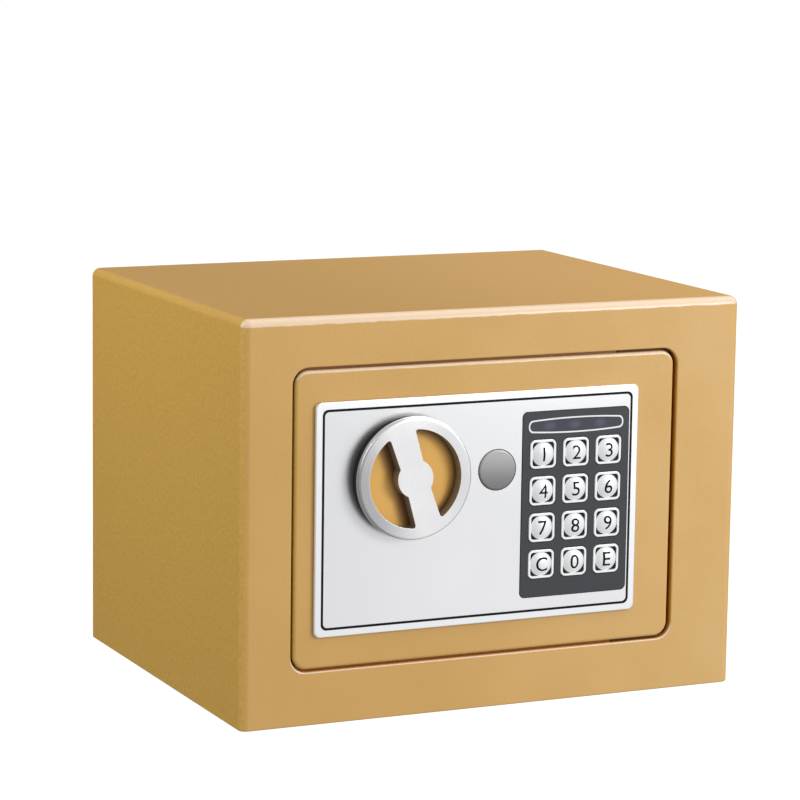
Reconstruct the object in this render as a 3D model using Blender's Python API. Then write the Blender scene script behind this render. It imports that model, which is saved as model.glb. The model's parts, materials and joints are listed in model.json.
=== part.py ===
"""A small electronic in-room safe, modelled as the parts it is assembled from.

Frame: +Z up, +X to the right seen from the front, the front faces -Y. The origin is the
centre of the base. All sizes are in metres. "Inward" is the distance behind the plane
of the door's front face; a negative inward distance stands out of that plane.
"""

from math import asin, cos, pi, radians, sin

import bmesh
import bpy
from mathutils import Vector

MM = 0.001
FIT_GAP = 0.3 * MM  # between two pieces that touch
SLIDE_GAP = 0.35 * MM  # round a piece that moves in another
PAST = 5 * MM  # how far a cutter runs past the face it cuts

# Body: bent steel sheet with a welded base and back
BODY_WIDTH = 230 * MM
BODY_DEPTH = 180 * MM
BODY_HEIGHT = 170 * MM
BODY_SHEET = 1.5 * MM
BEND_RADIUS = 3 * MM
MARGIN_LEFT = 21.9 * MM
MARGIN_RIGHT = 30 * MM
MARGIN_TOP = 20.8 * MM
MARGIN_BOTTOM = 22.5 * MM
ANCHOR_DIAMETER = 10 * MM
ANCHOR_SPACING = 120 * MM
ANCHOR_HEIGHT = 120 * MM
MAT_THICKNESS = 2 * MM
MAT_MARGIN = 1.5 * MM
STOP_REACH = 3 * MM
STOP_FLANGE = 8 * MM
STOP_THICKNESS = 1.5 * MM

# Door and its hinge
DOOR_THICKNESS = 3 * MM
DOOR_CORNER = 6 * MM
GAP_LATCH_SIDE = 1 * MM
GAP_HINGE_SIDE = 1.8 * MM
GAP_ABOVE = 1.2 * MM
GAP_BELOW = 1.2 * MM
HINGE_SETBACK = 9 * MM
HINGE_ROD_DIAMETER = 5 * MM
LUG_THICKNESS = 3 * MM
LUG_WIDTH = 14 * MM
DOOR_EDGE_ROUNDING = 1 * MM

# Control plate on the door's front
PLATE_WIDTH = 149.3 * MM
PLATE_HEIGHT = 97.9 * MM
PLATE_THICKNESS = 1.3 * MM
PLATE_CORNER = 2.8 * MM
PLATE_OFFSET_X = -4.5 * MM

# Keypad
KEY_SIZE = 12.2 * MM
KEY_CORNER = 2.3 * MM
KEY_PITCH_X = 15.5 * MM
KEY_PITCH_Z = 15.7 * MM
KEY_NAMES = ("123", "456", "789", "c0e")
KEY_PROUD = 0.35 * MM
KEY_DEPTH = 2.8 * MM
KEY_TRAVEL = 0.6 * MM
SWITCH_HEIGHT = 1 * MM  # between a pressed key and the board
DOME_DIAMETER = 10.2 * MM
DOME_HEIGHT = 1 * MM
PAD_SIDE_MARGIN = 3.5 * MM
PAD_TOP_MARGIN = 2.9 * MM
PAD_FOOT_MARGIN = 7.9 * MM
PAD_TO_PLATE_EDGE = 4.8 * MM
PAD_CORNER = 2.3 * MM
PAD_THICKNESS = 1.5 * MM
PAD_PROUD = 0.25 * MM
WINDOW_WIDTH = 44.7 * MM
WINDOW_HEIGHT = 6.6 * MM
WINDOW_TO_KEYS = 2.4 * MM
LED_SPACING = 12 * MM
LED_DIAMETER = 3 * MM
BOARD_THICKNESS = 1.6 * MM
BOARD_INSET = 3 * MM
BOARD_CORNER = 1.5 * MM

# Knob and its crank
KNOB_FROM_PLATE_LEFT = 41.9 * MM
LOCK_FROM_PLATE_TOP = 32.8 * MM
KNOB_DIAMETER = 51.4 * MM
KNOB_HEIGHT = 6.7 * MM
KNOB_RING = 5 * MM
KNOB_HUB_DIAMETER = 16 * MM
KNOB_BAR_AT_RING = 11.8 * MM
KNOB_BAR_AT_HUB = 10.6 * MM
KNOB_TILT = radians(18)
INSERT_THICKNESS = 1.1 * MM
SPINDLE_DIAMETER = 8 * MM
CRANK_RADIUS = 14 * MM
CRANK_SWING = radians(60)
CRANK_PIN_DIAMETER = 4 * MM
CAM_THICKNESS = 2.5 * MM
CAM_STANDOFF = 1 * MM

# Boltwork
BOLT_DIAMETER = 14 * MM
BOLT_SPACING = 44 * MM
BOLT_DROP = 11.8 * MM
BOLT_SHOWS = 2 * MM
CARRIER_SHEET = 1.5 * MM
CARRIER_REACH = 20.3 * MM
STUD_DIAMETER = 4 * MM
STUD_SPACING = 28 * MM
PLUNGER_TRAVEL = 5 * MM
PLUNGER_DIAMETER = 5 * MM
COIL_DIAMETER = 13 * MM
SOLENOID_HEIGHT = 15 * MM
SOLENOID_WALL = 1.2 * MM
SPRING_WIRE = 0.7 * MM

# Emergency lock
COVER_CAP_DIAMETER = 17 * MM
CAP_FROM_PLATE_LEFT = 82.6 * MM
CAP_THICKNESS = 1.6 * MM
BARREL_DIAMETER = 14 * MM
PLUG_DIAMETER = 9 * MM
BARREL_LENGTH = 18 * MM
KEYWAY_WIDTH = 1.6 * MM
TONGUE_LENGTH = 18 * MM
TONGUE_WIDTH = 8 * MM

# Back cover and batteries
COVER_MARGIN = 6 * MM
COVER_SHEET = 1.2 * MM
COVER_SCREW_INSET = 6 * MM
SCREW_DIAMETER = 3.5 * MM
SCREW_HEAD_DIAMETER = 7 * MM
SCREW_HEAD_HEIGHT = 1.8 * MM
CELL_DIAMETER = 14.2 * MM
CELL_LENGTH = 50.5 * MM
CELL_COUNT = 4
CELL_GAP = 0.4 * MM
CONTACT_ROOM = 1 * MM
TRAY_WALL = 1.2 * MM
TRAY_BEHIND_BOARD = 4 * MM
LID_THICKNESS = 1.6 * MM
LID_OVERLAP = 2.5 * MM
RESET_DIAMETER = 7 * MM
RESET_TRAVEL = 1.5 * MM
RESET_STANDS = 2 * MM
LEAD_DIAMETER = 2.4 * MM

# Places that follow from the sizes above
front = -BODY_DEPTH / 2
side = BODY_WIDTH / 2
opening_left = -side + MARGIN_LEFT
opening_right = side - MARGIN_RIGHT
opening_bottom = MARGIN_BOTTOM
opening_top = BODY_HEIGHT - MARGIN_TOP
opening_corner = DOOR_CORNER + GAP_ABOVE
door_left = opening_left + GAP_LATCH_SIDE
door_right = opening_right - GAP_HINGE_SIDE
door_bottom = opening_bottom + GAP_BELOW
door_top = opening_top - GAP_ABOVE
hinge_x = door_right - HINGE_SETBACK
hinge_inward = DOOR_THICKNESS + FIT_GAP + HINGE_ROD_DIAMETER / 2

plate_left = (door_left + door_right - PLATE_WIDTH) / 2 + PLATE_OFFSET_X
plate_right = plate_left + PLATE_WIDTH
plate_bottom = (door_bottom + door_top - PLATE_HEIGHT) / 2
plate_top = plate_bottom + PLATE_HEIGHT
plate_face = -FIT_GAP - PLATE_THICKNESS
knob_x = plate_left + KNOB_FROM_PLATE_LEFT
cap_x = plate_left + CAP_FROM_PLATE_LEFT
lock_z = plate_top - LOCK_FROM_PLATE_TOP

columns = max(len(row) for row in KEY_NAMES)
rows = len(KEY_NAMES)
pad_right = plate_right - PAD_TO_PLATE_EDGE
pad_left = pad_right - 2 * PAD_SIDE_MARGIN - KEY_SIZE - (columns - 1) * KEY_PITCH_X
pad_x = (pad_left + pad_right) / 2
keys_height = KEY_SIZE + (rows - 1) * KEY_PITCH_Z
pad_height = PAD_TOP_MARGIN + WINDOW_HEIGHT + WINDOW_TO_KEYS + keys_height + PAD_FOOT_MARGIN
pad_bottom = (plate_bottom + plate_top - pad_height) / 2
pad_top = pad_bottom + pad_height
pad_face = plate_face - PAD_PROUD
window_z = pad_top - PAD_TOP_MARGIN - WINDOW_HEIGHT / 2
top_row_z = window_z - WINDOW_HEIGHT / 2 - WINDOW_TO_KEYS - KEY_SIZE / 2
key_face = pad_face - KEY_PROUD
board_front = key_face + KEY_DEPTH + KEY_TRAVEL + SWITCH_HEIGHT
board_back = board_front + BOARD_THICKNESS

cam_front = DOOR_THICKNESS + CAM_STANDOFF
web_front = cam_front + CAM_THICKNESS + 2 * FIT_GAP
web_back = web_front + CARRIER_SHEET
stroke = 2 * CRANK_RADIUS * sin(CRANK_SWING / 2)
pin_x = knob_x + CRANK_RADIUS * sin(CRANK_SWING / 2)
pin_z = lock_z + CRANK_RADIUS * cos(CRANK_SWING / 2)
upper_bolt_z = lock_z + BOLT_SPACING / 2 - BOLT_DROP
lower_bolt_z = upper_bolt_z - BOLT_SPACING
bolt_inward = web_front + BOLT_DIAMETER / 2 + FIT_GAP
flange_x = knob_x - CARRIER_REACH
stud_z = lower_bolt_z + 2 * MM
web_bottom = lower_bolt_z - BOLT_DIAMETER / 2
web_top = upper_bolt_z + BOLT_DIAMETER / 2 + 3 * MM

cover_left = door_left + COVER_MARGIN
cover_right = hinge_x - HINGE_ROD_DIAMETER / 2 - 4 * FIT_GAP
cover_bottom = door_bottom + COVER_MARGIN
cover_top = door_top - COVER_MARGIN
bolt_tip = cover_left - BOLT_SHOWS
tray_front = board_back + TRAY_BEHIND_BOARD
tray_right = cover_right - COVER_SHEET - FIT_GAP
tray_left = tray_right - CELL_COUNT * (CELL_DIAMETER + CELL_GAP) - CELL_GAP - 2 * TRAY_WALL
tray_bottom = cover_bottom + COVER_SCREW_INSET / 2
tray_top = tray_bottom + CELL_LENGTH + 2 * CONTACT_ROOM + 2 * TRAY_WALL
cell_inward = tray_front + TRAY_WALL + FIT_GAP + CELL_DIAMETER / 2
tray_back = cell_inward + CELL_DIAMETER / 2 + 2 * FIT_GAP
cover_inside = max(tray_back + FIT_GAP, bolt_inward + BOLT_DIAMETER / 2 + 2 * MM)
cover_back = cover_inside + COVER_SHEET

plunger_x = flange_x - PLUNGER_DIAMETER / 2 - 3.7 * MM
plunger_inward = bolt_inward
plunger_top = web_bottom - PLUNGER_TRAVEL - 1 * MM
solenoid_bottom = cover_bottom + COVER_SHEET + 1 * MM
solenoid_top = solenoid_bottom + SOLENOID_HEIGHT


# Geometry helpers


def clear_scene():
    for thing in list(bpy.data.objects):
        bpy.data.objects.remove(thing, do_unlink=True)


def metal(name, colour, roughness, metallic=1.0):
    """A Principled material; plastics, paint and felt pass metallic 0."""
    material = bpy.data.materials.new(name)
    material.use_nodes = True
    shader = material.node_tree.nodes["Principled BSDF"]
    shader.inputs["Base Color"].default_value = (*colour, 1)
    shader.inputs["Roughness"].default_value = roughness
    shader.inputs["Metallic"].default_value = metallic
    return material


def axis_empty(name, place, parent=None):
    """An empty on a joint's axis, which the pieces that move together are parented to."""
    empty = bpy.data.objects.new(name, None)
    empty.empty_display_size = 10 * MM
    bpy.context.collection.objects.link(empty)
    empty.parent = parent
    empty.location = Vector(place) - (parent.matrix_world.translation if parent else Vector())
    bpy.context.view_layer.update()
    return empty


def add(name, mesh, material, parent=None, origin=None):
    """Links a bmesh as an object. Its origin is the given place, or its parent's."""
    if origin is None:
        origin = parent.matrix_world.translation if parent else Vector()
    origin = Vector(origin)
    bmesh.ops.translate(mesh, verts=mesh.verts, vec=-origin)
    data = bpy.data.meshes.new(name)
    mesh.to_mesh(data)
    mesh.free()
    data.materials.append(material)
    data.shade_smooth()
    data.set_sharp_from_angle(angle=radians(35))
    thing = bpy.data.objects.new(name, data)
    bpy.context.collection.objects.link(thing)
    thing.parent = parent
    thing.location = origin - (parent.matrix_world.translation if parent else Vector())
    return thing


def boolean(target, mesh, operation="DIFFERENCE"):
    """Cuts a bmesh from the target, or joins it on, with a hidden helper object."""
    helper = add(f"{target.name}.{operation.lower()}", mesh, target.active_material)
    helper.hide_render = True
    helper.display_type = "WIRE"
    modifier = target.modifiers.new(operation.title(), "BOOLEAN")
    modifier.operation = operation
    modifier.object = helper


def arc(centre, radius, start, end, steps):
    turns = [start + (end - start) * i / steps for i in range(steps + 1)]
    return [(centre[0] + radius * cos(t), centre[1] + radius * sin(t)) for t in turns]


def circle(centre, radius, steps=24):
    return arc(centre, radius, 0, 2 * pi, steps)[:-1]


def rounded_rectangle(left, right, bottom, top, radius, steps=4):
    points = []
    corners = ((right, bottom, -1), (right, top, 0), (left, top, 1), (left, bottom, 2))
    for x, z, quarter in corners:
        centre = (x - radius if x == right else x + radius, z - radius if z == top else z + radius)
        points += arc(centre, radius, quarter * pi / 2, (quarter + 1) * pi / 2, steps)
    return points


def turned_by(points, angle, centre):
    """The outline points turned anticlockwise, seen from the front, about a centre."""
    cx, cz = centre
    return [
        (
            cx + (x - cx) * cos(angle) - (z - cz) * sin(angle),
            cz + (x - cx) * sin(angle) + (z - cz) * cos(angle),
        )
        for x, z in points
    ]


def face_outward(mesh):
    mesh.normal_update()
    bmesh.ops.recalc_face_normals(mesh, faces=mesh.faces)
    if mesh.calc_volume(signed=True) < 0:
        bmesh.ops.reverse_faces(mesh, faces=mesh.faces)


def prism(loops, low, high, along="y"):
    """Extrudes an outline, with any holes after it, between two places along an axis."""
    mesh = bmesh.new()
    edges = []
    for loop in loops:
        verts = [mesh.verts.new((u, v, 0)) for u, v in loop]
        edges += [mesh.edges.new(pair) for pair in zip(verts, verts[1:] + verts[:1])]
    bmesh.ops.triangle_fill(mesh, edges=edges, use_beauty=True)
    grown = bmesh.ops.extrude_face_region(mesh, geom=mesh.faces[:], use_keep_orig=True)
    moved = [item for item in grown["geom"] if isinstance(item, bmesh.types.BMVert)]
    bmesh.ops.translate(mesh, verts=moved, vec=(0, 0, high - low))
    for vert in mesh.verts:
        u, v, depth = vert.co
        places = {
            "x": (low + depth, u, v),
            "y": (u, low + depth, v),
            "z": (u, v, low + depth),
        }
        vert.co = places[along]
    face_outward(mesh)
    return mesh


def block(x, y, z):
    """A box between pairs of places along X, Y and Z."""
    mesh = bmesh.new()
    bmesh.ops.create_cube(mesh, size=1)
    bmesh.ops.scale(mesh, verts=mesh.verts, vec=(x[1] - x[0], y[1] - y[0], z[1] - z[0]))
    bmesh.ops.translate(
        mesh, verts=mesh.verts, vec=((x[0] + x[1]) / 2, (y[0] + y[1]) / 2, (z[0] + z[1]) / 2)
    )
    return mesh


def lathe(profile, place, along="y", steps=24):
    """Turns a closed profile of (radius, distance) about the line through a place."""
    mesh = bmesh.new()
    directions = {"x": (0, 1, 0), "y": (1, 0, 0), "z": (1, 0, 0)}
    axes = {"x": (1, 0, 0), "y": (0, 1, 0), "z": (0, 0, 1)}
    out, axis = Vector(directions[along]), Vector(axes[along])
    verts = [mesh.verts.new(out * radius + axis * distance) for radius, distance in profile]
    edges = [mesh.edges.new(pair) for pair in zip(verts, verts[1:] + verts[:1])]
    bmesh.ops.spin(
        mesh, geom=verts + edges, cent=(0, 0, 0), axis=axis, angle=2 * pi, steps=steps,
        use_merge=True,
    )
    bmesh.ops.remove_doubles(mesh, verts=mesh.verts, dist=0.002 * MM)
    bmesh.ops.dissolve_degenerate(mesh, edges=mesh.edges, dist=0.002 * MM)
    lone = [edge for edge in mesh.edges if not edge.link_faces]
    bmesh.ops.delete(mesh, geom=lone, context="EDGES")
    face_outward(mesh)
    bmesh.ops.translate(mesh, verts=mesh.verts, vec=place)
    return mesh


def rod(place, radius, low, high, along="y", steps=24):
    """A plain round bar along an axis, between two distances from a place."""
    return lathe([(0, high), (radius, high), (radius, low), (0, low)], place, along, steps)


def smooth_route(points, steps):
    """Points on a Catmull-Rom curve through the route's own points."""
    knots = [2 * points[0] - points[1], *points, 2 * points[-1] - points[-2]]
    route = []
    for a, b, c, d in zip(knots, knots[1:], knots[2:], knots[3:]):
        for i in range(steps):
            t = i / steps
            route.append(
                (2 * b + (c - a) * t + (2 * a - 5 * b + 4 * c - d) * t**2
                 + (3 * b - a - 3 * c + d) * t**3) / 2
            )
    return [*route, points[-1]]


def tube(name, points, diameter, material, parent, sides_level=2):
    """A curve with a round bevel and filled caps along a list of points."""
    curve = bpy.data.curves.new(name, "CURVE")
    curve.dimensions = "3D"
    curve.bevel_depth = diameter / 2
    curve.bevel_resolution = sides_level
    curve.use_fill_caps = True
    spline = curve.splines.new("POLY")
    spline.points.add(len(points) - 1)
    origin = parent.matrix_world.translation
    for spline_point, point in zip(spline.points, points):
        spline_point.co = (*(point - origin), 1)
    curve.materials.append(material)
    thing = bpy.data.objects.new(name, curve)
    bpy.context.collection.objects.link(thing)
    thing.parent = parent
    return thing


def at(x, inward, z):
    return Vector((x, front + inward, z))


# Body


def make_body_shell(material):
    """Front, sides and top bent from one sheet, open behind and below."""
    shell = block((-side, side), (front, -front), (0, BODY_HEIGHT))
    shell.edges.ensure_lookup_table()

    def on_bend(edge):
        middle = (edge.verts[0].co + edge.verts[1].co) / 2
        along = edge.verts[0].co - edge.verts[1].co
        upright_front = abs(along.z) > MM and middle.y < 0
        across_front = abs(along.x) > MM and middle.y < 0 and middle.z > BODY_HEIGHT / 2
        along_top = abs(along.y) > MM and middle.z > BODY_HEIGHT / 2
        return upright_front or across_front or along_top

    bends = [edge for edge in shell.edges if on_bend(edge)]
    bmesh.ops.bevel(
        shell, geom=bends, offset=BEND_RADIUS, offset_type="OFFSET", segments=4,
        profile=0.5, affect="EDGES", material=-1,
    )
    body = add("body_shell", shell, material)
    inner = side - BODY_SHEET
    boolean(
        body,
        block(
            (-inner, inner),
            (front + BODY_SHEET, -front + PAST),
            (-PAST, BODY_HEIGHT - BODY_SHEET),
        ),
    )
    doorway = rounded_rectangle(
        opening_left, opening_right, opening_bottom, opening_top, opening_corner, 6
    )
    boolean(body, prism([doorway], front - PAST, front + PAST))


def anchor_holes(height):
    return [circle((x, height), ANCHOR_DIAMETER / 2) for x in (-ANCHOR_SPACING / 2, ANCHOR_SPACING / 2)]


def make_base_panel(material):
    edge = side - BODY_SHEET - FIT_GAP
    near = front + BODY_SHEET + FIT_GAP
    far = -front - BODY_SHEET - FIT_GAP
    outline = [(-edge, near), (edge, near), (edge, far), (-edge, far)]
    add("base_panel", prism([outline, *anchor_holes(0)], 0, BODY_SHEET, "z"), material)


def make_back_panel(material):
    edge = side - BODY_SHEET - FIT_GAP
    top = BODY_HEIGHT - BODY_SHEET - FIT_GAP
    outline = [(-edge, 0), (edge, 0), (edge, top), (-edge, top)]
    holes = anchor_holes(ANCHOR_HEIGHT)
    add("back_panel", prism([outline, *holes], -front - BODY_SHEET, -front), material)


def make_floor_mat(material):
    edge = side - BODY_SHEET - MAT_MARGIN
    near = front + BODY_SHEET + MAT_MARGIN
    far = -front - BODY_SHEET - MAT_MARGIN
    outline = [(-edge, near), (edge, near), (edge, far), (-edge, far)]
    low = BODY_SHEET + FIT_GAP
    add("floor_mat", prism([outline, *anchor_holes(0)], low, low + MAT_THICKNESS, "z"), material)


def make_door_stop(material):
    """A C-shaped strip welded behind the doorway; its lip stands behind the door plate."""
    arm_end = hinge_x - HINGE_SETBACK - STOP_FLANGE
    left, right = opening_left - STOP_FLANGE, opening_left + STOP_REACH
    low, high = opening_bottom - STOP_FLANGE, opening_top + STOP_FLANGE
    outline = [(left, low), (arm_end, low), (arm_end, opening_bottom + STOP_REACH)]
    outline += arc(
        (right + DOOR_CORNER, opening_bottom + STOP_REACH + DOOR_CORNER), DOOR_CORNER,
        -pi / 2, -pi, 4,
    )
    outline += arc(
        (right + DOOR_CORNER, opening_top - STOP_REACH - DOOR_CORNER), DOOR_CORNER,
        -pi, -3 * pi / 2, 4,
    )
    outline += [(arm_end, opening_top - STOP_REACH), (arm_end, high), (left, high)]
    lip_front = DOOR_THICKNESS + FIT_GAP
    strip = prism([outline], front + BODY_SHEET + FIT_GAP, front + lip_front + STOP_THICKNESS)
    stop = add("door_stop_frame", strip, material)
    doorway = rounded_rectangle(
        opening_left, opening_right, opening_bottom, opening_top, opening_corner, 6
    )
    boolean(stop, prism([doorway], front - PAST, front + lip_front))


def make_hinge_lugs(material):
    near = front + BODY_SHEET + FIT_GAP
    hinge_y = front + hinge_inward
    half = LUG_WIDTH / 2
    outline = [(hinge_x - half, near), (hinge_x + half, near), (hinge_x + half, hinge_y)]
    outline += arc((hinge_x, hinge_y), half, 0, pi, 8)[1:]
    bore = circle((hinge_x, hinge_y), HINGE_ROD_DIAMETER / 2 + SLIDE_GAP)
    for name, low in (
        ("hinge_lug_top", opening_top + FIT_GAP),
        ("hinge_lug_bottom", opening_bottom - FIT_GAP - LUG_THICKNESS),
    ):
        add(name, prism([outline, bore], low, low + LUG_THICKNESS, "z"), material)


# Door


def make_door_plate(material, door):
    outline = rounded_rectangle(door_left, door_right, door_bottom, door_top, DOOR_CORNER, 6)
    spindle = circle((knob_x, lock_z), SPINDLE_DIAMETER / 2 + SLIDE_GAP)
    barrel = circle((cap_x, lock_z), BARREL_DIAMETER / 2 + FIT_GAP)
    inset = BOARD_INSET - FIT_GAP
    window = rounded_rectangle(
        pad_left + inset, pad_right - inset, pad_bottom + inset, pad_top - inset,
        BOARD_CORNER + FIT_GAP, 2,
    )
    plate = prism([outline, spindle, barrel, window], front, front + DOOR_THICKNESS)
    rim = [
        edge
        for edge in plate.edges
        if all(abs(vert.co.y - front) < 1e-6 for vert in edge.verts)
        and len({abs(face.normal.y) > 0.5 for face in edge.link_faces}) == 2
        and all(near_door_edge(vert.co) for vert in edge.verts)
    ]
    bmesh.ops.bevel(
        plate, geom=rim, offset=DOOR_EDGE_ROUNDING, offset_type="OFFSET", segments=2,
        profile=0.5, affect="EDGES", material=-1,
    )
    add("door_plate", plate, material, door)


def near_door_edge(place):
    inset = min(
        place.x - door_left, door_right - place.x, place.z - door_bottom, door_top - place.z
    )
    return inset < DOOR_CORNER / 2


def make_hinge_rod(material, door):
    low = opening_bottom - 2 * FIT_GAP - LUG_THICKNESS
    high = opening_top + 2 * FIT_GAP + LUG_THICKNESS
    bar = rod(at(hinge_x, hinge_inward, 0), HINGE_ROD_DIAMETER / 2, low, high, "z", 16)
    add("hinge_rod", bar, material, door)


def make_control_plate(material, door):
    outline = rounded_rectangle(plate_left, plate_right, plate_bottom, plate_top, PLATE_CORNER)
    spindle = circle((knob_x, lock_z), SPINDLE_DIAMETER / 2 + SLIDE_GAP)
    cap = circle((cap_x, lock_z), COVER_CAP_DIAMETER / 2 + SLIDE_GAP)
    window = rounded_rectangle(
        pad_left - FIT_GAP, pad_right + FIT_GAP, pad_bottom - FIT_GAP, pad_top + FIT_GAP, PAD_CORNER
    )
    plate = prism([outline, spindle, cap, window], front + plate_face, front - FIT_GAP)
    add("control_plate", plate, material, door)


# Keypad


def lens_outline(grow=0.0, steps=8):
    """The light window's outline: a flat oval with long bulged sides and round ends."""
    half_width = WINDOW_WIDTH / 2 + grow
    end_height = WINDOW_HEIGHT * 0.36 + grow
    bulge = WINDOW_HEIGHT / 2 + grow - end_height
    radius = (half_width**2 + bulge**2) / (2 * bulge)
    sweep = asin(half_width / radius)
    above = arc(
        (pad_x, window_z + end_height + bulge - radius), radius,
        pi / 2 - sweep, pi / 2 + sweep, steps,
    )
    below = arc(
        (pad_x, window_z - end_height - bulge + radius), radius,
        -pi / 2 - sweep, -pi / 2 + sweep, steps,
    )
    return above + below


def key_places():
    for row, names in enumerate(KEY_NAMES):
        for column, name in enumerate(names):
            x = pad_x + (column - (columns - 1) / 2) * KEY_PITCH_X
            yield name, x, top_row_z - row * KEY_PITCH_Z


def square_round(x, z, size, corner):
    half = size / 2
    return rounded_rectangle(x - half, x + half, z - half, z + half, corner, 3)


def make_keypad_bezel(material, door):
    outline = rounded_rectangle(pad_left, pad_right, pad_bottom, pad_top, PAD_CORNER)
    loops = [outline, lens_outline(FIT_GAP)]
    loops += [
        square_round(x, z, KEY_SIZE + 2 * SLIDE_GAP, KEY_CORNER + SLIDE_GAP)
        for name, x, z in key_places()
    ]
    bezel = prism(loops, front + pad_face, front + pad_face + PAD_THICKNESS)
    add("keypad_bezel", bezel, material, door)


def make_keys(material, door):
    dome_radius = DOME_DIAMETER / 2
    face = key_face
    back = face + KEY_DEPTH
    root = face + 0.5 * MM
    curve = (dome_radius**2 + DOME_HEIGHT**2) / (2 * DOME_HEIGHT)
    sweep = asin(dome_radius / curve)
    profile = [(0, root), (dome_radius, root)]
    profile += [
        (curve * sin(turn), face - DOME_HEIGHT + curve * (1 - cos(turn)))
        for turn in (sweep, sweep * 0.66, sweep * 0.33)
    ]
    profile += [(0, face - DOME_HEIGHT)]
    for name, x, z in key_places():
        origin = at(x, face, z)
        cap = prism([square_round(x, z, KEY_SIZE, KEY_CORNER)], front + face, front + back)
        key = add(f"key_{name}", cap, material, door, origin)
        boolean(key, lathe(profile, (x, front, z), "y", 20), "UNION")


def make_light_window(material, door):
    lens = prism([lens_outline()], front + pad_face + 2 * FIT_GAP, front + pad_face + PAD_THICKNESS)
    add("led_window", lens, material, door)


def make_leds(lens_materials, door):
    radius = LED_DIAMETER / 2
    back = board_front - FIT_GAP
    tip = pad_face + PAD_THICKNESS + FIT_GAP
    dome = [(radius * cos(turn), tip + radius * (1 - sin(turn)) / 2) for turn in (0, pi / 6, pi / 3)]
    profile = [(0, back), (radius, back), *dome, (0, tip)]
    names = ("led_left", "led_middle", "led_right")
    for i, (name, material) in enumerate(zip(names, lens_materials)):
        place = (pad_x + (i - 1) * LED_SPACING, front, window_z)
        add(name, lathe(profile, place, "y", 12), material, door)


def make_keypad_board(material, door):
    inset = BOARD_INSET
    outline = rounded_rectangle(
        pad_left + inset, pad_right - inset, pad_bottom + inset, pad_top - inset, BOARD_CORNER, 2
    )
    board = prism([outline], front + board_front, front + board_back)
    add("keypad_board", board, material, door)


# Knob


def crescent(side_sign):
    """One finger recess: between the ring, the bar and the round hub."""
    outer = KNOB_DIAMETER / 2 - KNOB_RING
    hub = KNOB_HUB_DIAMETER / 2
    at_ring = pi / 2 - asin(KNOB_BAR_AT_RING / 2 / outer)
    at_hub = pi / 2 - asin(KNOB_BAR_AT_HUB / 2 / hub)
    points = arc((0, 0), outer, -at_ring, at_ring, 14) + arc((0, 0), hub, at_hub, -at_hub, 6)
    placed = [(knob_x + side_sign * x, lock_z + side_sign * z) for x, z in points]
    return turned_by(placed, KNOB_TILT, (knob_x, lock_z))


def make_knob(material, knob_axis):
    back = plate_face - FIT_GAP
    face = back - KNOB_HEIGHT
    outline = circle((knob_x, lock_z), KNOB_DIAMETER / 2, 40)
    body = prism([outline, crescent(1), crescent(-1)], front + face, front + back)
    knob = add("knob", body, material, knob_axis)
    place = (knob_x, front, lock_z)
    pocket_radius = KNOB_DIAMETER / 2 - KNOB_RING / 2
    pocket = INSERT_THICKNESS + FIT_GAP
    boolean(knob, rod(place, pocket_radius, back - pocket, back + PAST, "y", 32))
    bore = SPINDLE_DIAMETER / 2 + FIT_GAP
    boolean(knob, rod(place, bore, face + 1.5 * MM, back + PAST / 2, "y", 24))


def make_knob_insert(material, knob_axis):
    radius = KNOB_DIAMETER / 2 - KNOB_RING / 2 - FIT_GAP
    hole = circle((knob_x, lock_z), SPINDLE_DIAMETER / 2 + FIT_GAP)
    back = plate_face - FIT_GAP
    disc = prism(
        [circle((knob_x, lock_z), radius, 32), hole],
        front + back - INSERT_THICKNESS, front + back,
    )
    add("knob_insert", disc, material, knob_axis)


def make_spindle(material, knob_axis):
    tip = plate_face - FIT_GAP - KNOB_HEIGHT + 2.5 * MM
    shaft = rod((knob_x, front, lock_z), SPINDLE_DIAMETER / 2, tip, cam_front - FIT_GAP, "y", 20)
    add("knob_spindle", shaft, material, knob_axis)


def make_spindle_cam(material, knob_axis):
    """A crank arm on the spindle's end, with the pin that drives the bolt carrier."""
    hub, end = SPINDLE_DIAMETER / 2 + 3 * MM, CRANK_PIN_DIAMETER / 2 + 2 * MM
    lean = asin((hub - end) / CRANK_RADIUS)
    outline = arc((knob_x, lock_z + CRANK_RADIUS), end, lean, pi - lean, 8)
    outline += arc((knob_x, lock_z), hub, pi - lean, 2 * pi + lean, 14)
    outline = turned_by(outline, -CRANK_SWING / 2, (knob_x, lock_z))
    arm = prism([outline], front + cam_front, front + cam_front + CAM_THICKNESS)
    cam = add("spindle_cam", arm, material, knob_axis)
    pin_end = web_back + 1 * MM
    pin = rod((pin_x, front, pin_z), CRANK_PIN_DIAMETER / 2, cam_front + MM, pin_end, "y", 16)
    boolean(cam, pin, "UNION")


# Boltwork


def slot(x0, x1, z0, z1, radius):
    """A round-ended slot round the stretch from (x0, z0) to (x1, z1)."""
    if x1 > x0:
        right = arc((x1, z1), radius, -pi / 2, pi / 2, 6)
        return right + arc((x0, z0), radius, pi / 2, 3 * pi / 2, 6)
    top = arc((x1, z1), radius, 0, pi, 6)
    return top + arc((x0, z0), radius, pi, 2 * pi, 6)


def stud_places():
    first = flange_x + CARRIER_SHEET + STUD_DIAMETER / 2 + 3 * MM
    return (first, first + STUD_SPACING)


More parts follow.
